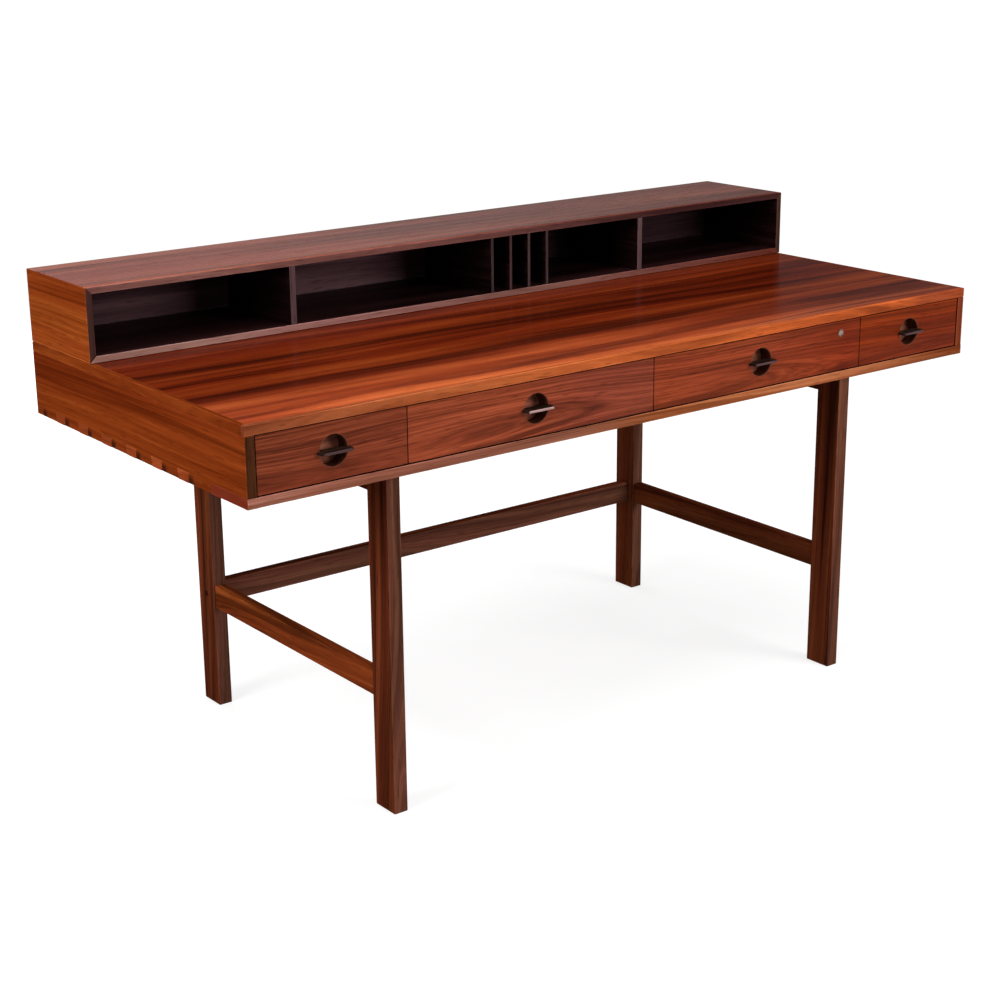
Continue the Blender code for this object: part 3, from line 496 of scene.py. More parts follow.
def own_copy(pattern, name):
    """A copy of a piece, with a mesh of its own."""
    made = bpy.data.objects.new(name, pattern.data.copy())
    made.data.name = name
    bpy.context.collection.objects.link(made)
    return made


def packed_copy(node, name):
    """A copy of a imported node, its loose triangles joined and its flat faces made whole."""
    piece = own_copy(parts[node], name)
    pick(piece)
    bpy.ops.object.mode_set(mode='EDIT')
    bpy.ops.mesh.select_all(action='SELECT')
    bpy.ops.mesh.remove_doubles(threshold=MERGE)
    bpy.ops.mesh.dissolve_limited(angle_limit=FLAT_ANGLE)
    bpy.ops.object.mode_set(mode='OBJECT')
    return piece


def saw_off(piece, point, outward):
    """Cut a piece along a plane, close the cut and drop what lies outward of it."""
    pick(piece)
    bpy.ops.object.mode_set(mode='EDIT')
    bpy.ops.mesh.select_all(action='SELECT')
    bpy.ops.mesh.bisect(plane_co=point, plane_no=outward, use_fill=True, clear_outer=True)
    bpy.ops.object.mode_set(mode='OBJECT')


low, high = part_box("case_top")
left_line = (low.x + LIP_WIDTH, 0.0, 0.0)
right_line = (high.x - LIP_WIDTH, 0.0, 0.0)
front_line = (0.0, low.y + LIP_WIDTH, 0.0)
TOP_SLICES = {
    "top_panel": ((left_line, (-1, 0, 0)), (right_line, (1, 0, 0)), (front_line, (0, -1, 0))),
    "top_lip_left": ((left_line, (1, 0, 0)), (front_line, (0, -1, 0))),
    "top_lip_right": ((right_line, (-1, 0, 0)), (front_line, (0, -1, 0))),
    "top_lip_front": ((front_line, (0, 1, 0)),),
}
slices = {}
for name, cuts in TOP_SLICES.items():
    slices[name] = packed_copy("case_top", name)
    for point, outward in cuts:
        saw_off(slices[name], point, outward)
    smooth(slices[name])
    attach(slices[name], "desk")
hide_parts("case_top")
# The top panel carries the painted light and shade.
finish_wood(slices["top_panel"], 'X', TOP_TONES, heart=(0.3, 0.60, 0.08), streak=0.055, tilt=0.02,
            wander=0.04, bold=0.70, zones=(face_zone("case_top", '-Z', 'X', INSIDE_TONES),),
            gradients=(('Y', TOP_FRONT_FROM, low.y, TOP_FRONT_PAINTED_LIGHT), TOP_RIGHT_PAINTED_SHADE, TOP_CORNER_PAINTED_SHADE),
            rub_and_highlight=0.0, roughness=0.20, gloss=0.02)
finish_wood(slices["top_lip_front"], 'X', LIP_TONES, heart=(1.3, 0.40, 0.08), streak=0.020,
            zones=[face_zone("case_top", end, 'Y', LIP_END_TONES) for end in ('-X', '+X')],
            gradients=(('X', low.x, LIP_FULL_AT, LIP_FADING), LIP_RIGHT_FADING), rub_and_highlight=0.45, gloss=0.03)
for hand in ("left", "right"):
    finish_wood(slices[f"top_lip_{hand}"], 'Y', SIDE_TONES, heart=(0.6, 0.40, 0.08), streak=0.020)

# The rest of the case: bottom, sides and back of solid rosewood. The sides are dovetailed to the bottom,
# and the faces that only a drawer sees are left dark and dull, as are the partitions.
# Painted shade on the left case side's front edge, a darker copy of the right side's edge.
LEFT_EDGE_PAINTED_SHADE = ((0.022, 0.006, 0.003), (0.060, 0.016, 0.007), (0.105, 0.030, 0.013))
RIGHT_EDGE_TONES = ((0.126, 0.023, 0.0104), (0.231, 0.044, 0.018), (0.322, 0.074, 0.036))
BOTTOM_EDGE_TONES = ((0.150, 0.034, 0.011), (0.345, 0.088, 0.032), (0.560, 0.185, 0.080))
BOTTOM_LEFT_FADING = ('X', 0.0, -0.2, (1.05, 1.40, 2.40))
BOTTOM_RIGHT_FADING = ('X', 0.40, 0.80, (0.45, 0.34, 0.28))
END_TONES = ((0.125, 0.018, 0.005), (0.215, 0.036, 0.0095), (0.315, 0.062, 0.019))
END_FADING = ('Y', -0.10, 0.12, (0.76, 0.74, 0.70))
HANDLED_COLOUR = (0.120, 0.015, 0.008)
HANDLED_SHARE = 0.8
JOINT_COLOUR = (0.046, 0.010, 0.004)
JOINT_FROM = 0.58
JOINT_FULL = 0.68
JOINT_TO = 0.79
TAIL_START = 0.110
TAIL_PITCH = 0.088
bottom_low, bottom_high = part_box("case_bottom")
bottom_middle = (bottom_low + bottom_high) / 2


def joint_marks(tree, heights):
    """Where the side is darker in front of each dovetail of the bottom board."""
    behind = maths(tree, 'SUBTRACT', heights['Y'], bottom_low.y + TAIL_START)
    turn = maths(tree, 'FRACT', maths(tree, 'DIVIDE', behind, TAIL_PITCH))
    before = maths(tree, 'LESS_THAN', turn, JOINT_TO)
    beside = maths(tree, 'MULTIPLY', spread(tree, turn, JOINT_FROM, JOINT_FULL), before)
    under = spread(tree, heights['Z'], bottom_high.z, bottom_middle.z)
    below = maths(tree, 'MULTIPLY', under, maths(tree, 'GREATER_THAN', behind, 0.0))
    return maths(tree, 'MULTIPLY', beside, below)


def handled_ends(tree, heights):
    """Where hands have darkened the bottom board's ends, in front of its first dovetail."""
    off = maths(tree, 'ABSOLUTE', maths(tree, 'SUBTRACT', heights['X'], bottom_middle.x))
    at_end = maths(tree, 'GREATER_THAN', off, bottom_high.x - bottom_middle.x - SKIN)
    in_front = maths(tree, 'LESS_THAN', heights['Y'], bottom_low.y + TAIL_START)
    return maths(tree, 'MULTIPLY', maths(tree, 'MULTIPLY', at_end, in_front), HANDLED_SHARE)


finish_wood(parts["case_bottom"], 'X', SIDE_TONES, heart=(1.1, 0.40, 0.10), streak=0.018,
            marks=(handled_ends, HANDLED_COLOUR),
            zones=(face_zone("case_bottom", '-Y', 'X', BOTTOM_EDGE_TONES,
                             BOTTOM_LEFT_FADING, BOTTOM_RIGHT_FADING, depth=LIP_WIDTH),
                   face_zone("case_bottom", '+Z', 'X', INSIDE_TONES),
                   face_zone("case_bottom", '-X', 'Y', END_TONES, END_FADING),
                   face_zone("case_bottom", '+X', 'Y', END_TONES, END_FADING)))
# The left side's front edge gets the painted shade.
for node, inside, start, edge_tones in (("case_side_left", '+X', 0.2, LEFT_EDGE_PAINTED_SHADE),
                                        ("case_side_right", '-X', 2.2, RIGHT_EDGE_TONES)):
    finish_wood(parts[node], 'Y', SIDE_TONES, heart=(start, 0.10, 0.45), marks=(joint_marks, JOINT_COLOUR),
                zones=(face_zone(node, inside, 'Y', INSIDE_TONES), face_zone(node, '-Y', 'Z', edge_tones)))
finish_wood(parts["case_back"], 'X', SIDE_TONES, heart=(2.9, 0.10, 0.30), gloss=0.04,
            zones=(face_zone("case_back", '-Y', 'X', INSIDE_TONES),))
for order, node in enumerate(("partition_left", "partition_centre", "partition_right")):
    finish_wood(parts[node], 'Y', INSIDE_TONES, heart=(order * 1.1, 0.10, 0.40))

# The drawer boxes: sides, back and bottom of pale plain wood, waxed. The sides are lapped into the front with
# dovetails, so the ends of the front's dark pins show in the side.
DRAWERS = (1, 2, 3, 4)
BOX_FINISH = {"tones": ((0.33, 0.165, 0.085), (0.44, 0.235, 0.125), (0.53, 0.305, 0.170)),
              "bold": 0.15, "rub_and_highlight": 0.0}
PIN_COLOUR = (0.060, 0.016, 0.008)
PIN_PITCH = 0.026
PIN_DEPTH = 0.012
PIN_NARROW = 0.10
PIN_FLARE = 0.09


def pin_marks(corner):
    """A function that marks a box side's pins: narrow at the front and wider behind, one to each pitch."""
    def pins(tree, heights):
        behind = maths(tree, 'DIVIDE', maths(tree, 'SUBTRACT', heights['Y'], corner.y), PIN_DEPTH)
        turns = maths(tree, 'DIVIDE', maths(tree, 'SUBTRACT', heights['Z'], corner.z), PIN_PITCH)
        off = maths(tree, 'ABSOLUTE', maths(tree, 'SUBTRACT', maths(tree, 'FRACT', turns), 0.5))
        half = maths(tree, 'MULTIPLY_ADD', behind, PIN_FLARE, PIN_NARROW)
        inside = maths(tree, 'LESS_THAN', behind, 1.0)
        return maths(tree, 'MULTIPLY', maths(tree, 'LESS_THAN', off, half), inside)
    return pins


for number in DRAWERS:
    for hand, start in (("left", 0.0), ("right", 2.3)):
        side = parts[f"drawer_{number}_side_{hand}"]
        finish_wood(side, 'Y', heart=(start + number * 0.7, 0.2, 0.3), streak=0.02,
                    marks=(pin_marks(corners(side)[0]), PIN_COLOUR), **BOX_FINISH)
    finish_wood(parts[f"drawer_{number}_bottom"], 'X', heart=(number * 0.9, 0.3, 0.05), streak=0.03,
                **BOX_FINISH)
    finish_wood(parts[f"drawer_{number}_back"], 'X', heart=(number * 1.1, 0.2, 0.3), streak=0.02,
                **BOX_FINISH)

# The drawer fronts: four inset boards sawn from one plank, so that the figure runs on from front to front.
# Each has a turned finger recess with a rounded rim, a cup behind it, and a slot for the pull.
FRONT_THICK = 0.020
FRONT_EASE = 0.0010
RECESS_RADIUS = 0.0255
RECESS_DEPTH = 0.026
RECESS_ROUND = 0.0014
RECESS_SIDES = 96
CUP_WALL = 0.004
FIT = 0.0003
OVERRUN = 0.004
LOCKED_DRAWER = 3
LOCK_NOSE_RADIUS = 0.0064
LOCK_SIDES = 64
PLANK_HEART = (0.0, 0.05, 0.030)
PLANK_CUT = {"streak": 0.012, "tilt": 0.012, "wander": 0.03, "bold": 0.28}
FRONT_TONES = ((0.076, 0.014, 0.006), (0.200, 0.037, 0.015), (0.345, 0.071, 0.030))
FRONT_SHADES = ((1.00, 1.00, 1.00), (1.35, 1.35, 1.30), (1.22, 1.03, 0.88), (1.04, 0.66, 0.23))
FRONT_FADINGS = (
    (),
    (('X', -0.28, -0.14, (0.80, 0.79, 1.00)),),
    (('X', 0.26, 0.47, (0.74, 0.54, 0.38)),),
    (('X', 0.58, 0.70, (0.82, 0.78, 0.88)), ('Z', 0.668, 0.642, (0.75, 0.80, 1.40))),
)
# Painted shade on the recess walls, and painted light on the recess's back disc.
RECESS_WALL_PAINTED_SHADE = ((0.040, 0.012, 0.006), (0.095, 0.028, 0.014), (0.155, 0.050, 0.026))
RECESS_DISC_PAINTED_LIGHT = ((0.180, 0.054, 0.031), (0.330, 0.102, 0.060), (0.455, 0.153, 0.093))
# The rim is rubbed paler by fingers, and the paler colour also stands in for a painted highlight.
RIM_RUB_AND_HIGHLIGHT_COLOUR = (0.200, 0.062, 0.036)
RIM_STARTS = RECESS_RADIUS + 1.2 * RECESS_ROUND
RIM_IS_FULL = RECESS_RADIUS + 0.6 * RECESS_ROUND
lock_axis = Vector(next(joint["pos_m"] for joint in frame["joints"] if joint["name"] == "lock_turn"))


def block(name, low, high):
    """A straight block between two corners."""
    low, high = Vector(low), Vector(high)
    bpy.ops.object.select_all(action='DESELECT')
    bpy.ops.mesh.primitive_cube_add(size=1.0, location=(low + high) / 2, scale=high - low)
    return settle(name)


def carve(piece, tool, operation='DIFFERENCE'):
    """Cut a tool out of a piece, or join it on, and take the tool away."""
    change = piece.modifiers.new("carve", 'BOOLEAN')
    change.operation = operation
    change.solver = 'EXACT'
    change.object = tool
    pick(piece)
    bpy.ops.object.modifier_apply(modifier=change.name)
    bpy.data.objects.remove(tool, do_unlink=True)


def room_for(node):
    """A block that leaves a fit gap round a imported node."""
    low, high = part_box(node)
    gap = Vector((FIT, FIT, FIT))
    return block("room", low - gap, high + gap)


def rim_test(x, y, z):
    """A test for the edges on the mouth of a finger recess, from the middle of the mouth."""
    on_face = on_plane('Y', y)

    def on_rim(start, end):
        reach = max(math.hypot(point.x - x, point.z - z) for point in (start, end))
        return on_face(start, end) and reach < RECESS_RADIUS + SKIN
    return on_rim


def rim_rub_and_highlight_marks(x, y, z):
    """A function that marks the rim, rubbed paler by fingers and given a painted highlight, from the middle
    of the recess's mouth.
    """
    def rubbed_and_highlit_rim(tree, heights):
        across = maths(tree, 'POWER', maths(tree, 'SUBTRACT', heights['X'], x), 2.0)
        up = maths(tree, 'POWER', maths(tree, 'SUBTRACT', heights['Z'], z), 2.0)
        reach = maths(tree, 'SQRT', maths(tree, 'ADD', across, up))
        near = spread(tree, reach, RIM_STARTS, RIM_IS_FULL)
        return maths(tree, 'MULTIPLY', near, maths(tree, 'LESS_THAN', heights['Y'], y + RECESS_ROUND))
    return rubbed_and_highlit_rim


plank_low, plank_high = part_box("drawer_1_front")[0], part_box("drawer_4_front")[1]
plank_middle = (plank_low + plank_high) / 2
plank_middle.y = plank_low.y
for number, shade, gradients in zip(DRAWERS, FRONT_SHADES, FRONT_FADINGS):
    low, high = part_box(f"drawer_{number}_front")
    x, face_y, z = (low.x + high.x) / 2, low.y, (low.z + high.z) / 2
    back_y = face_y + FRONT_THICK
    disc_y = face_y + RECESS_DEPTH
    front = block(f"drawer_front_{number}", low, (high.x, back_y, high.z))
    round_edges(front, FRONT_EASE, steps=2)
    cup = rod("cup", RECESS_RADIUS + CUP_WALL, (x, back_y - OVERRUN, z), (x, high.y, z), RECESS_SIDES, 'Y')
    carve(front, cup, 'UNION')
    carve(front, rod("recess", RECESS_RADIUS, (x, face_y - OVERRUN, z), (x, disc_y, z), RECESS_SIDES, 'Y'))
    round_edges(front, RECESS_ROUND, steps=4, chosen=rim_test(x, face_y, z))
    carve(front, room_for(f"drawer_{number}_pull"))
    carve(front, room_for(f"drawer_{number}_bottom"))
    if number == LOCKED_DRAWER:
        nose = Vector((lock_axis.x, face_y - OVERRUN, lock_axis.z))
        behind = nose + Vector((0.0, FRONT_THICK + 2 * OVERRUN, 0.0))
        carve(front, rod("hole", LOCK_NOSE_RADIUS + FIT, nose, behind, LOCK_SIDES, 'Y'))
    smooth(front)
    tones = [[part * share for part, share in zip(tone, shade)] for tone in FRONT_TONES]
    # The recess walls carry painted shade, and its back disc painted light.
    finish_wood(front, 'X', tones, heart=PLANK_HEART, middle=plank_middle, **PLANK_CUT, rub_and_highlight=0.1, gloss=0.04,
                # The rubbed rim also carries a painted highlight.
                marks=(rim_rub_and_highlight_marks(x, face_y, z), RIM_RUB_AND_HIGHLIGHT_COLOUR), gradients=gradients,
                zones=(('Y', face_y + RECESS_ROUND, FAR, 'X', RECESS_WALL_PAINTED_SHADE),
                       ('Y', disc_y - SKIN, disc_y + SKIN, 'X', RECESS_DISC_PAINTED_LIGHT)))
    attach(front, f"drawer_{number}")
    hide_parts(f"drawer_{number}_front")

# The pulls: a thin bar of black-brown rosewood let in across each recess, its front corners rounded off and
# its front edge rounded by hand, with a painted highlight on that edge. One is shaped, and the others are
# copies of it.
PULL_CORNER = 0.007
PULL_ROUND = 0.0016
PULL_EASE = 0.0006
PULL_TONES = ((0.006, 0.003, 0.002), (0.018, 0.008, 0.006), (0.035, 0.015, 0.011))
# Painted highlight on the pulls' front edges, and how strong it is on each pull.
PULL_EDGE_PAINTED_HIGHLIGHT = ((0.080, 0.040, 0.040), (0.140, 0.072, 0.072), (0.200, 0.110, 0.110))
PULL_EDGE_HIGHLIGHT_STRENGTHS = (0.6, 2.6, 0.6, 0.6)
pull_low, pull_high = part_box("drawer_1_pull")
pattern = block("pull_bar_1", pull_low, pull_high)
round_edges(pattern, PULL_CORNER, steps=8, chosen=lambda start, end:
            max(start.y, end.y) < pull_low.y + SKIN and abs(start.z - end.z) > SKIN)
round_edges(pattern, PULL_ROUND, steps=3, chosen=lambda start, end:
            max(start.y, end.y) < pull_low.y + PULL_CORNER + SKIN and abs(start.z - end.z) < SKIN)
round_edges(pattern, PULL_EASE, steps=2, chosen=lambda start, end:
            min(start.y, end.y) > pull_high.y - SKIN)
smooth(pattern)
for number, shade in zip(DRAWERS, PULL_EDGE_HIGHLIGHT_STRENGTHS):
    node = f"drawer_{number}_pull"
    pull = pattern
    if number > 1:
        pull = own_copy(pattern, f"pull_bar_{number}")
        pull.data.transform(Matrix.Translation(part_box(node)[0] - pull_low))
    # The front edge carries the painted highlight, strongest on the second pull.
    edge_tones = [[part * shade for part in tone] for tone in PULL_EDGE_PAINTED_HIGHLIGHT]
    finish_wood(pull, 'X', PULL_TONES, heart=(number * 0.4, 0.1, 0.2), streak=0.01,
                zones=(face_zone(node, '-Y', 'X', edge_tones, depth=PULL_ROUND / 2),),
                gloss=0.05, roughness=0.32)
    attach(pull, f"drawer_{number}")
    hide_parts(node)

# The lock: a browned steel case behind the third drawer's front, its nose and rim in the front, and a plug
# that the key turns. The plug's crank pin lifts the bolt into the top. Cover and bolt are bright plates.
LOCK_RIM_RADIUS = 0.0076
LOCK_RIM_ROUND = 0.0006
LOCK_RIM_PROUD = 0.0014
LOCK_PLUG_RADIUS = 0.0046
LOCK_PLUG_ROUND = 0.0003
LOCK_PLUG_CLEAR = 0.0001
LOCK_WALL = 0.003
LOCK_PLAY = 0.0003
KEYWAY = (0.0015, 0.008, 0.0062)
CRANK_THICK = 0.0025
CRANK_PIN_RADIUS = 0.0012
CRANK_PIN_OFFSET = 0.004
CRANK_PIN_SIDES = 32
STEEL_TONES = ((0.24, 0.22, 0.19), (0.36, 0.33, 0.29), (0.48, 0.45, 0.41))
NOSE_TONES = ((0.080, 0.050, 0.036), (0.150, 0.100, 0.076), (0.240, 0.170, 0.135))
BARREL_TONES = ((0.340, 0.200, 0.155), (0.480, 0.290, 0.230), (0.600, 0.380, 0.310))
METAL_STOPS = (0.1, 0.5, 0.9)
METAL_LIMITS = (0.30, 0.70)
MOTTLE = (90.0, 90.0, 90.0)
MOTTLE_SHARE = 0.7
MOTTLE_DULLNESS = 0.15
BRUSH = (60.0, 2500.0, 2500.0)
BRUSH_SHARE = 0.3
BRUSH_BUMP = 0.1
BRUSH_DEPTH = 0.0002


def finish_metal(part, tones, roughness):
    """Finish one metal part: mottled by handling and finely brushed."""
    material, tree, output = new_tree(part.name)
    place = add_node(tree, "ShaderNodeTexCoord").outputs["Object"]
    mottle = spread(tree, noise(tree, place, MOTTLE, detail=3.0), *METAL_LIMITS)
    brush = spread(tree, noise(tree, place, BRUSH, detail=1.0), *METAL_LIMITS)
    tone = maths(tree, 'MULTIPLY_ADD', brush, BRUSH_SHARE, maths(tree, 'MULTIPLY', mottle, MOTTLE_SHARE))
    colour = ramp(tree, tone, list(zip(METAL_STOPS, tones)))
    dull = maths(tree, 'MULTIPLY_ADD', mottle, MOTTLE_DULLNESS, roughness)
    scratches = {"Height": brush, "Strength": BRUSH_BUMP, "Distance": BRUSH_DEPTH}
    bump = add_node(tree, "ShaderNodeBump", scratches)
    shader = add_node(tree, "ShaderNodeBsdfPrincipled",
                      {"Base Color": colour, "Metallic": 1.0, "Roughness": dull, "Normal": bump.outputs[0]})
    tree.links.new(shader.outputs[0], output.inputs["Surface"])
    part.data.materials.clear()
    part.data.materials.append(material)


def on_lock(y, x=0.0, z=0.0):
    """A point on the lock's axis at a depth, or beside the axis."""
    return Vector((lock_axis.x + x, y, lock_axis.z + z))


case_low, case_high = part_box("lock_housing")
bolt_low, bolt_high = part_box("lock_bolt")
plug_low, plug_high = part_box("lock_plug")
rim_y = case_low.y
face_y = rim_y + LOCK_RIM_PROUD
seat_y = face_y + FRONT_THICK + FIT
play = Vector((LOCK_PLAY, LOCK_PLAY, LOCK_PLAY))
lock_case = block("lock_case", (case_low.x, seat_y, case_low.z), case_high)
nose_ends = on_lock(rim_y + LOCK_RIM_PROUD / 2), on_lock(seat_y + LOCK_WALL / 2)
carve(lock_case, rod("nose", LOCK_NOSE_RADIUS, *nose_ends, LOCK_SIDES, 'Y'), 'UNION')
rim_ends = on_lock(rim_y), on_lock(face_y - FIT)
carve(lock_case, rod("rim", LOCK_RIM_RADIUS, *rim_ends, LOCK_SIDES, 'Y'), 'UNION')
cavity_low, cavity_high = bolt_low - play, bolt_high + play
cavity_low.y, cavity_high.y = seat_y + LOCK_WALL, case_high.y + OVERRUN
carve(lock_case, block("cavity", cavity_low, cavity_high))
bore_radius = LOCK_PLUG_RADIUS + LOCK_PLUG_CLEAR
bore_ends = on_lock(rim_y - OVERRUN), on_lock(cavity_low.y + FIT)
carve(lock_case, rod("bore", bore_radius, *bore_ends, LOCK_SIDES, 'Y'))
round_edges(lock_case, LOCK_RIM_ROUND, steps=3, chosen=on_plane('Y', rim_y))
smooth(lock_case)
finish_metal(lock_case, NOSE_TONES, roughness=0.26)
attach(lock_case, f"drawer_{LOCKED_DRAWER}")
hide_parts("lock_housing")

crank_y = cavity_low.y + LOCK_PLAY
crank_radius = (plug_high.x - plug_low.x) / 2
barrel_ends = on_lock(rim_y), on_lock(crank_y + CRANK_THICK / 2)
barrel = rod("lock_barrel", LOCK_PLUG_RADIUS, *barrel_ends, LOCK_SIDES, 'Y')
round_edges(barrel, LOCK_PLUG_ROUND, steps=2, chosen=on_plane('Y', rim_y))
crank = rod("crank", crank_radius, on_lock(crank_y), on_lock(crank_y + CRANK_THICK), LOCK_SIDES, 'Y')
carve(barrel, crank, 'UNION')
pin_start = on_lock(crank_y + CRANK_THICK / 2, CRANK_PIN_OFFSET, -CRANK_PIN_OFFSET)
pin_end = on_lock(plug_high.y, CRANK_PIN_OFFSET, -CRANK_PIN_OFFSET)
carve(barrel, rod("crank_pin", CRANK_PIN_RADIUS, pin_start, pin_end, CRANK_PIN_SIDES, 'Y'), 'UNION')
width, depth, height = KEYWAY
keyway_low = on_lock(rim_y - OVERRUN, -width / 2, -height / 2)
carve(barrel, block("keyway", keyway_low, on_lock(rim_y + depth, width / 2, height / 2)))
smooth(barrel)
finish_metal(barrel, BARREL_TONES, roughness=0.30)
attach(barrel, "lock_plug")
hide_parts("lock_plug")
for node in ("lock_bolt", "lock_cover"):
    finish_metal(parts[node], STEEL_TONES, roughness=0.30)

# The gallery: four mitred boards, a back and dividers. Outside it is lacquered like the top, with painted
# light that makes it paler towards its left end; inside it is nearly black, with painted light on the back
# panel of the left bins; the front edges keep the bare wood. The imported top board is cut along its glue
# line, so that the lipping on its front edge is a piece of wood of its own.
GALLERY_TONES = ((0.070, 0.013, 0.008), (0.150, 0.028, 0.017), (0.235, 0.052, 0.033))
# Painted light that makes the gallery top paler towards its left end.
GALLERY_LEFT_FROM = 0.3
GALLERY_LEFT_PAINTED_LIGHT = (1.9, 2.2, 2.3)
GALLERY_TOP_EDGE_TONES = ((0.075, 0.024, 0.021), (0.155, 0.052, 0.047), (0.245, 0.090, 0.081))
GALLERY_TOP_EDGE_FADING = ('X', -0.15, 0.45, (0.28, 0.24, 0.27))
GALLERY_LIP_TONES = ((0.145, 0.058, 0.046), (0.285, 0.124, 0.106), (0.415, 0.205, 0.178))
GALLERY_LIP_RIGHT_FROM = -0.1
GALLERY_LIP_RIGHT_FADING = (0.42, 0.18, 0.12)
GALLERY_SIDE_TONES = ((0.145, 0.022, 0.0035), (0.230, 0.042, 0.0075), (0.320, 0.070, 0.013))
GALLERY_SIDE_EDGE_TONES = ((0.025, 0.009, 0.008), (0.055, 0.020, 0.017), (0.090, 0.034, 0.028))
GALLERY_BACK_TONES = ((0.018, 0.008, 0.010), (0.036, 0.016, 0.019), (0.056, 0.026, 0.030))
# Painted light on the back panel inside the bins, lighter in the left bins.
GALLERY_BACK_PAINTED_LIGHT = ('X', 0.5, -0.1, (2.1, 1.95, 2.0))
DIVIDER_TONES = ((0.003, 0.0010, 0.0011), (0.010, 0.003, 0.0033), (0.020, 0.007, 0.0075))
DIVIDER_EDGE_TONES = ((0.042, 0.020, 0.022), (0.086, 0.041, 0.045), (0.130, 0.066, 0.071))
SLOT_EDGE_TONES = ((0.026, 0.013, 0.014), (0.050, 0.025, 0.026), (0.078, 0.040, 0.042))
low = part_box("gallery_top")[0]
gallery_line = (0.0, low.y + LIP_WIDTH, 0.0)
gallery_panel = packed_copy("gallery_top", "gallery_top_panel")
saw_off(gallery_panel, gallery_line, (0, -1, 0))
gallery_lip = packed_copy("gallery_top", "gallery_top_lip")
saw_off(gallery_lip, gallery_line, (0, 1, 0))
for piece in (gallery_panel, gallery_lip):
    smooth(piece)
    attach(piece, "gallery")
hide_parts("gallery_top")
under_side = face_zone("gallery_top", '-Z', 'X', INSIDE_TONES)
# The gallery top and its lipping carry the painted light towards the left end.
left_painted_light = ('X', GALLERY_LEFT_FROM, low.x, GALLERY_LEFT_PAINTED_LIGHT)
finish_wood(gallery_panel, 'X', GALLERY_TONES, heart=(1.7, 0.5, 0.1), zones=(under_side,),
            gradients=(left_painted_light,), rub_and_highlight=0.2, gloss=0.50, roughness=0.24)
finish_wood(gallery_lip, 'X', GALLERY_TONES, heart=(2.9, 0.5, 0.1), gradients=(left_painted_light,), rub_and_highlight=0.6,
            zones=(under_side, face_zone("gallery_top", '-Y', 'X', GALLERY_TOP_EDGE_TONES,
                                         GALLERY_TOP_EDGE_FADING)))
right_fading = ('X', GALLERY_LIP_RIGHT_FROM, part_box("gallery_bottom")[1].x, GALLERY_LIP_RIGHT_FADING)
finish_wood(parts["gallery_bottom"], 'X', TOP_TONES, heart=(4.7, 0.5, 0.1), streak=0.040, tilt=0.02,
            wander=0.04, bold=0.62, gloss=0.05,
            zones=(face_zone("gallery_bottom", '+Z', 'X', INSIDE_TONES),
                   face_zone("gallery_bottom", '-Y', 'X', GALLERY_LIP_TONES, right_fading)))
for node, inside, start in (("gallery_side_left", '+X', 0.7), ("gallery_side_right", '-X', 2.7)):
    finish_wood(parts[node], 'Y', GALLERY_SIDE_TONES, heart=(start, 0.1, 0.35), streak=0.025,
                zones=(face_zone(node, inside, 'Y', INSIDE_TONES),
                       face_zone(node, '-Y', 'Z', GALLERY_SIDE_EDGE_TONES)))
# The back panel's inner face carries painted light in the left bins.
finish_wood(parts["gallery_back"], 'X', GALLERY_BACK_TONES, heart=(2.7, 0.1, 0.35), streak=0.060, gloss=0.03,
            zones=(face_zone("gallery_back", '+Y', 'X', SIDE_TONES),), gradients=(GALLERY_BACK_PAINTED_LIGHT,))
for order, node in enumerate(("divider_left", "divider_right", "slot_divider_1", "slot_divider_2",
                              "slot_divider_3", "slot_divider_4")):
    edge_tones = SLOT_EDGE_TONES if "slot" in node else DIVIDER_EDGE_TONES
    finish_wood(parts[node], 'Y', DIVIDER_TONES, heart=(order * 1.1, 0.1, 0.35), streak=0.025, gloss=0.05,
                zones=(face_zone(node, '-Y', 'Z', edge_tones),))

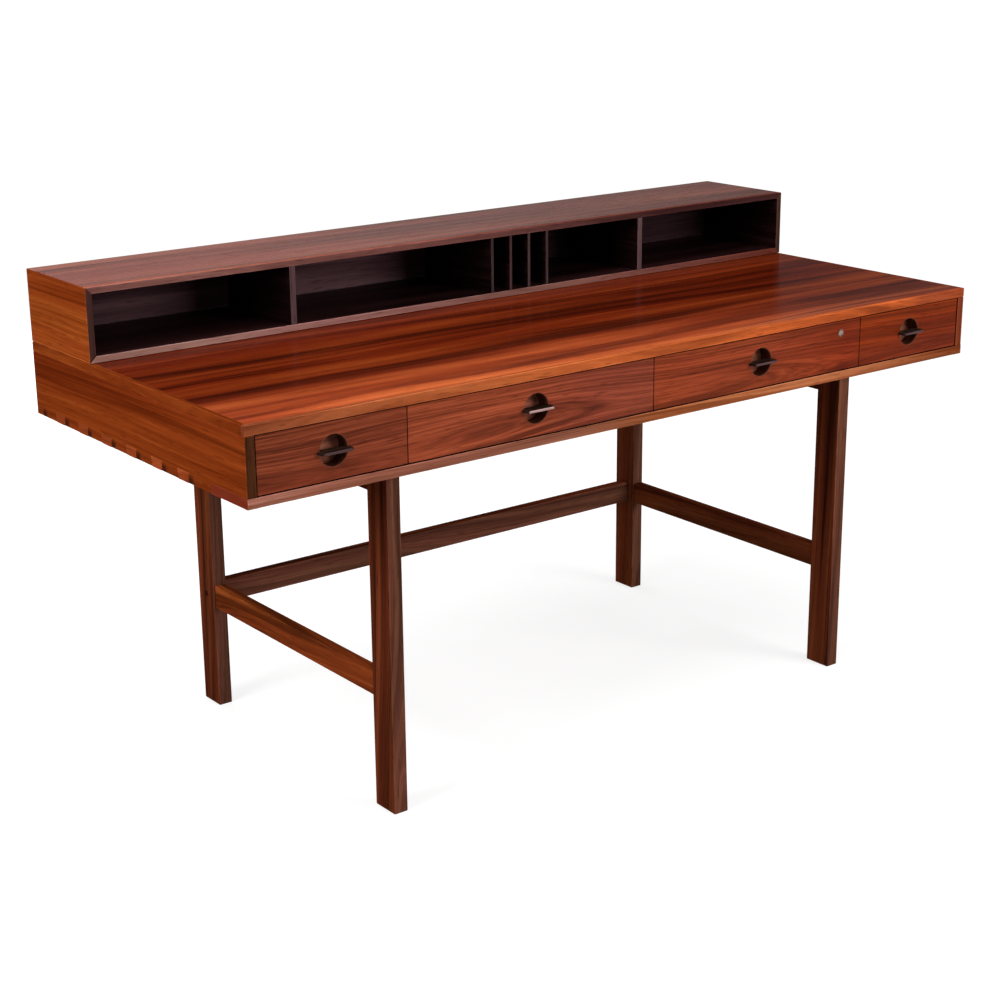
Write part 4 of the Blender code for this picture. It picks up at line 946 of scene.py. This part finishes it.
# The hinges: two brass butt hinges let in flush between the top and the gallery, each leaf held by four
# countersunk screws with slotted heads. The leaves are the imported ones, countersunk, and the screws are
# copies of one.
BRASS_TONES = ((0.30, 0.19, 0.06), (0.46, 0.31, 0.11), (0.60, 0.43, 0.19))
SCREW_RADIUS = 0.0026
SCREW_SHANK = 0.0012
SCREW_DEPTH = 0.0014
SCREW_SIDES = 32
SCREW_SLOT = (0.0060, 0.0007, 0.0006)
SINK_CLEAR = 0.0001
SCREW_TURN = 0.9
SCREW_PLACES = ((-0.026, 0.006), (-0.009, 0.015), (0.009, 0.006), (0.026, 0.015))


def countersunk(name, shank, radius, depth):
    """A cone that widens upward, its top at the origin."""
    bpy.ops.object.select_all(action='DESELECT')
    bpy.ops.mesh.primitive_cone_add(vertices=SCREW_SIDES, radius1=shank, radius2=radius, depth=depth,
                                    location=(0.0, 0.0, -depth / 2))
    return settle(name)


screw = countersunk("screw_pattern", SCREW_SHANK, SCREW_RADIUS, SCREW_DEPTH)
slot_length, slot_width, slot_depth = SCREW_SLOT
slot_low = (-slot_length / 2, -slot_width / 2, -slot_depth)
carve(screw, block("slot", slot_low, (slot_length / 2, slot_width / 2, OVERRUN)))
smooth(screw)
for hand in ("left", "right"):
    for body in ("desk", "gallery"):
        node = f"hinge_{hand}_{body}_leaf"
        low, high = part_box(node)
        plate = packed_copy(node, f"hinge_plate_{hand}_{body}")
        plate_z = [vertex.co.z for vertex in plate.data.vertices if vertex.co.y < low.y + SKIN]
        face_z, facing = max(plate_z), Matrix()
        if body == "gallery":
            face_z, facing = min(plate_z), Matrix.Rotation(math.pi, 4, 'X')
        for order, (along, across) in enumerate(SCREW_PLACES):
            seat = Matrix.Translation(((low.x + high.x) / 2 + along, low.y + across, face_z)) @ facing
            sink = countersunk("sink", SCREW_SHANK + FIT, SCREW_RADIUS + SINK_CLEAR, high.z - low.z)
            sink.data.transform(seat)
            carve(plate, sink)
            head = own_copy(screw, f"hinge_screw_{hand}_{body}_{order + 1}")
            head.data.transform(seat @ Matrix.Rotation(order * SCREW_TURN, 4, 'Z'))
            finish_metal(head, BRASS_TONES, roughness=0.28)
            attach(head, body)
        smooth(plate)
        finish_metal(plate, BRASS_TONES, roughness=0.34)
        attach(plate, body)
        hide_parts(node)
bpy.data.objects.remove(screw, do_unlink=True)

# The bounds of the dressed model, without the floor.
low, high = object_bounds()
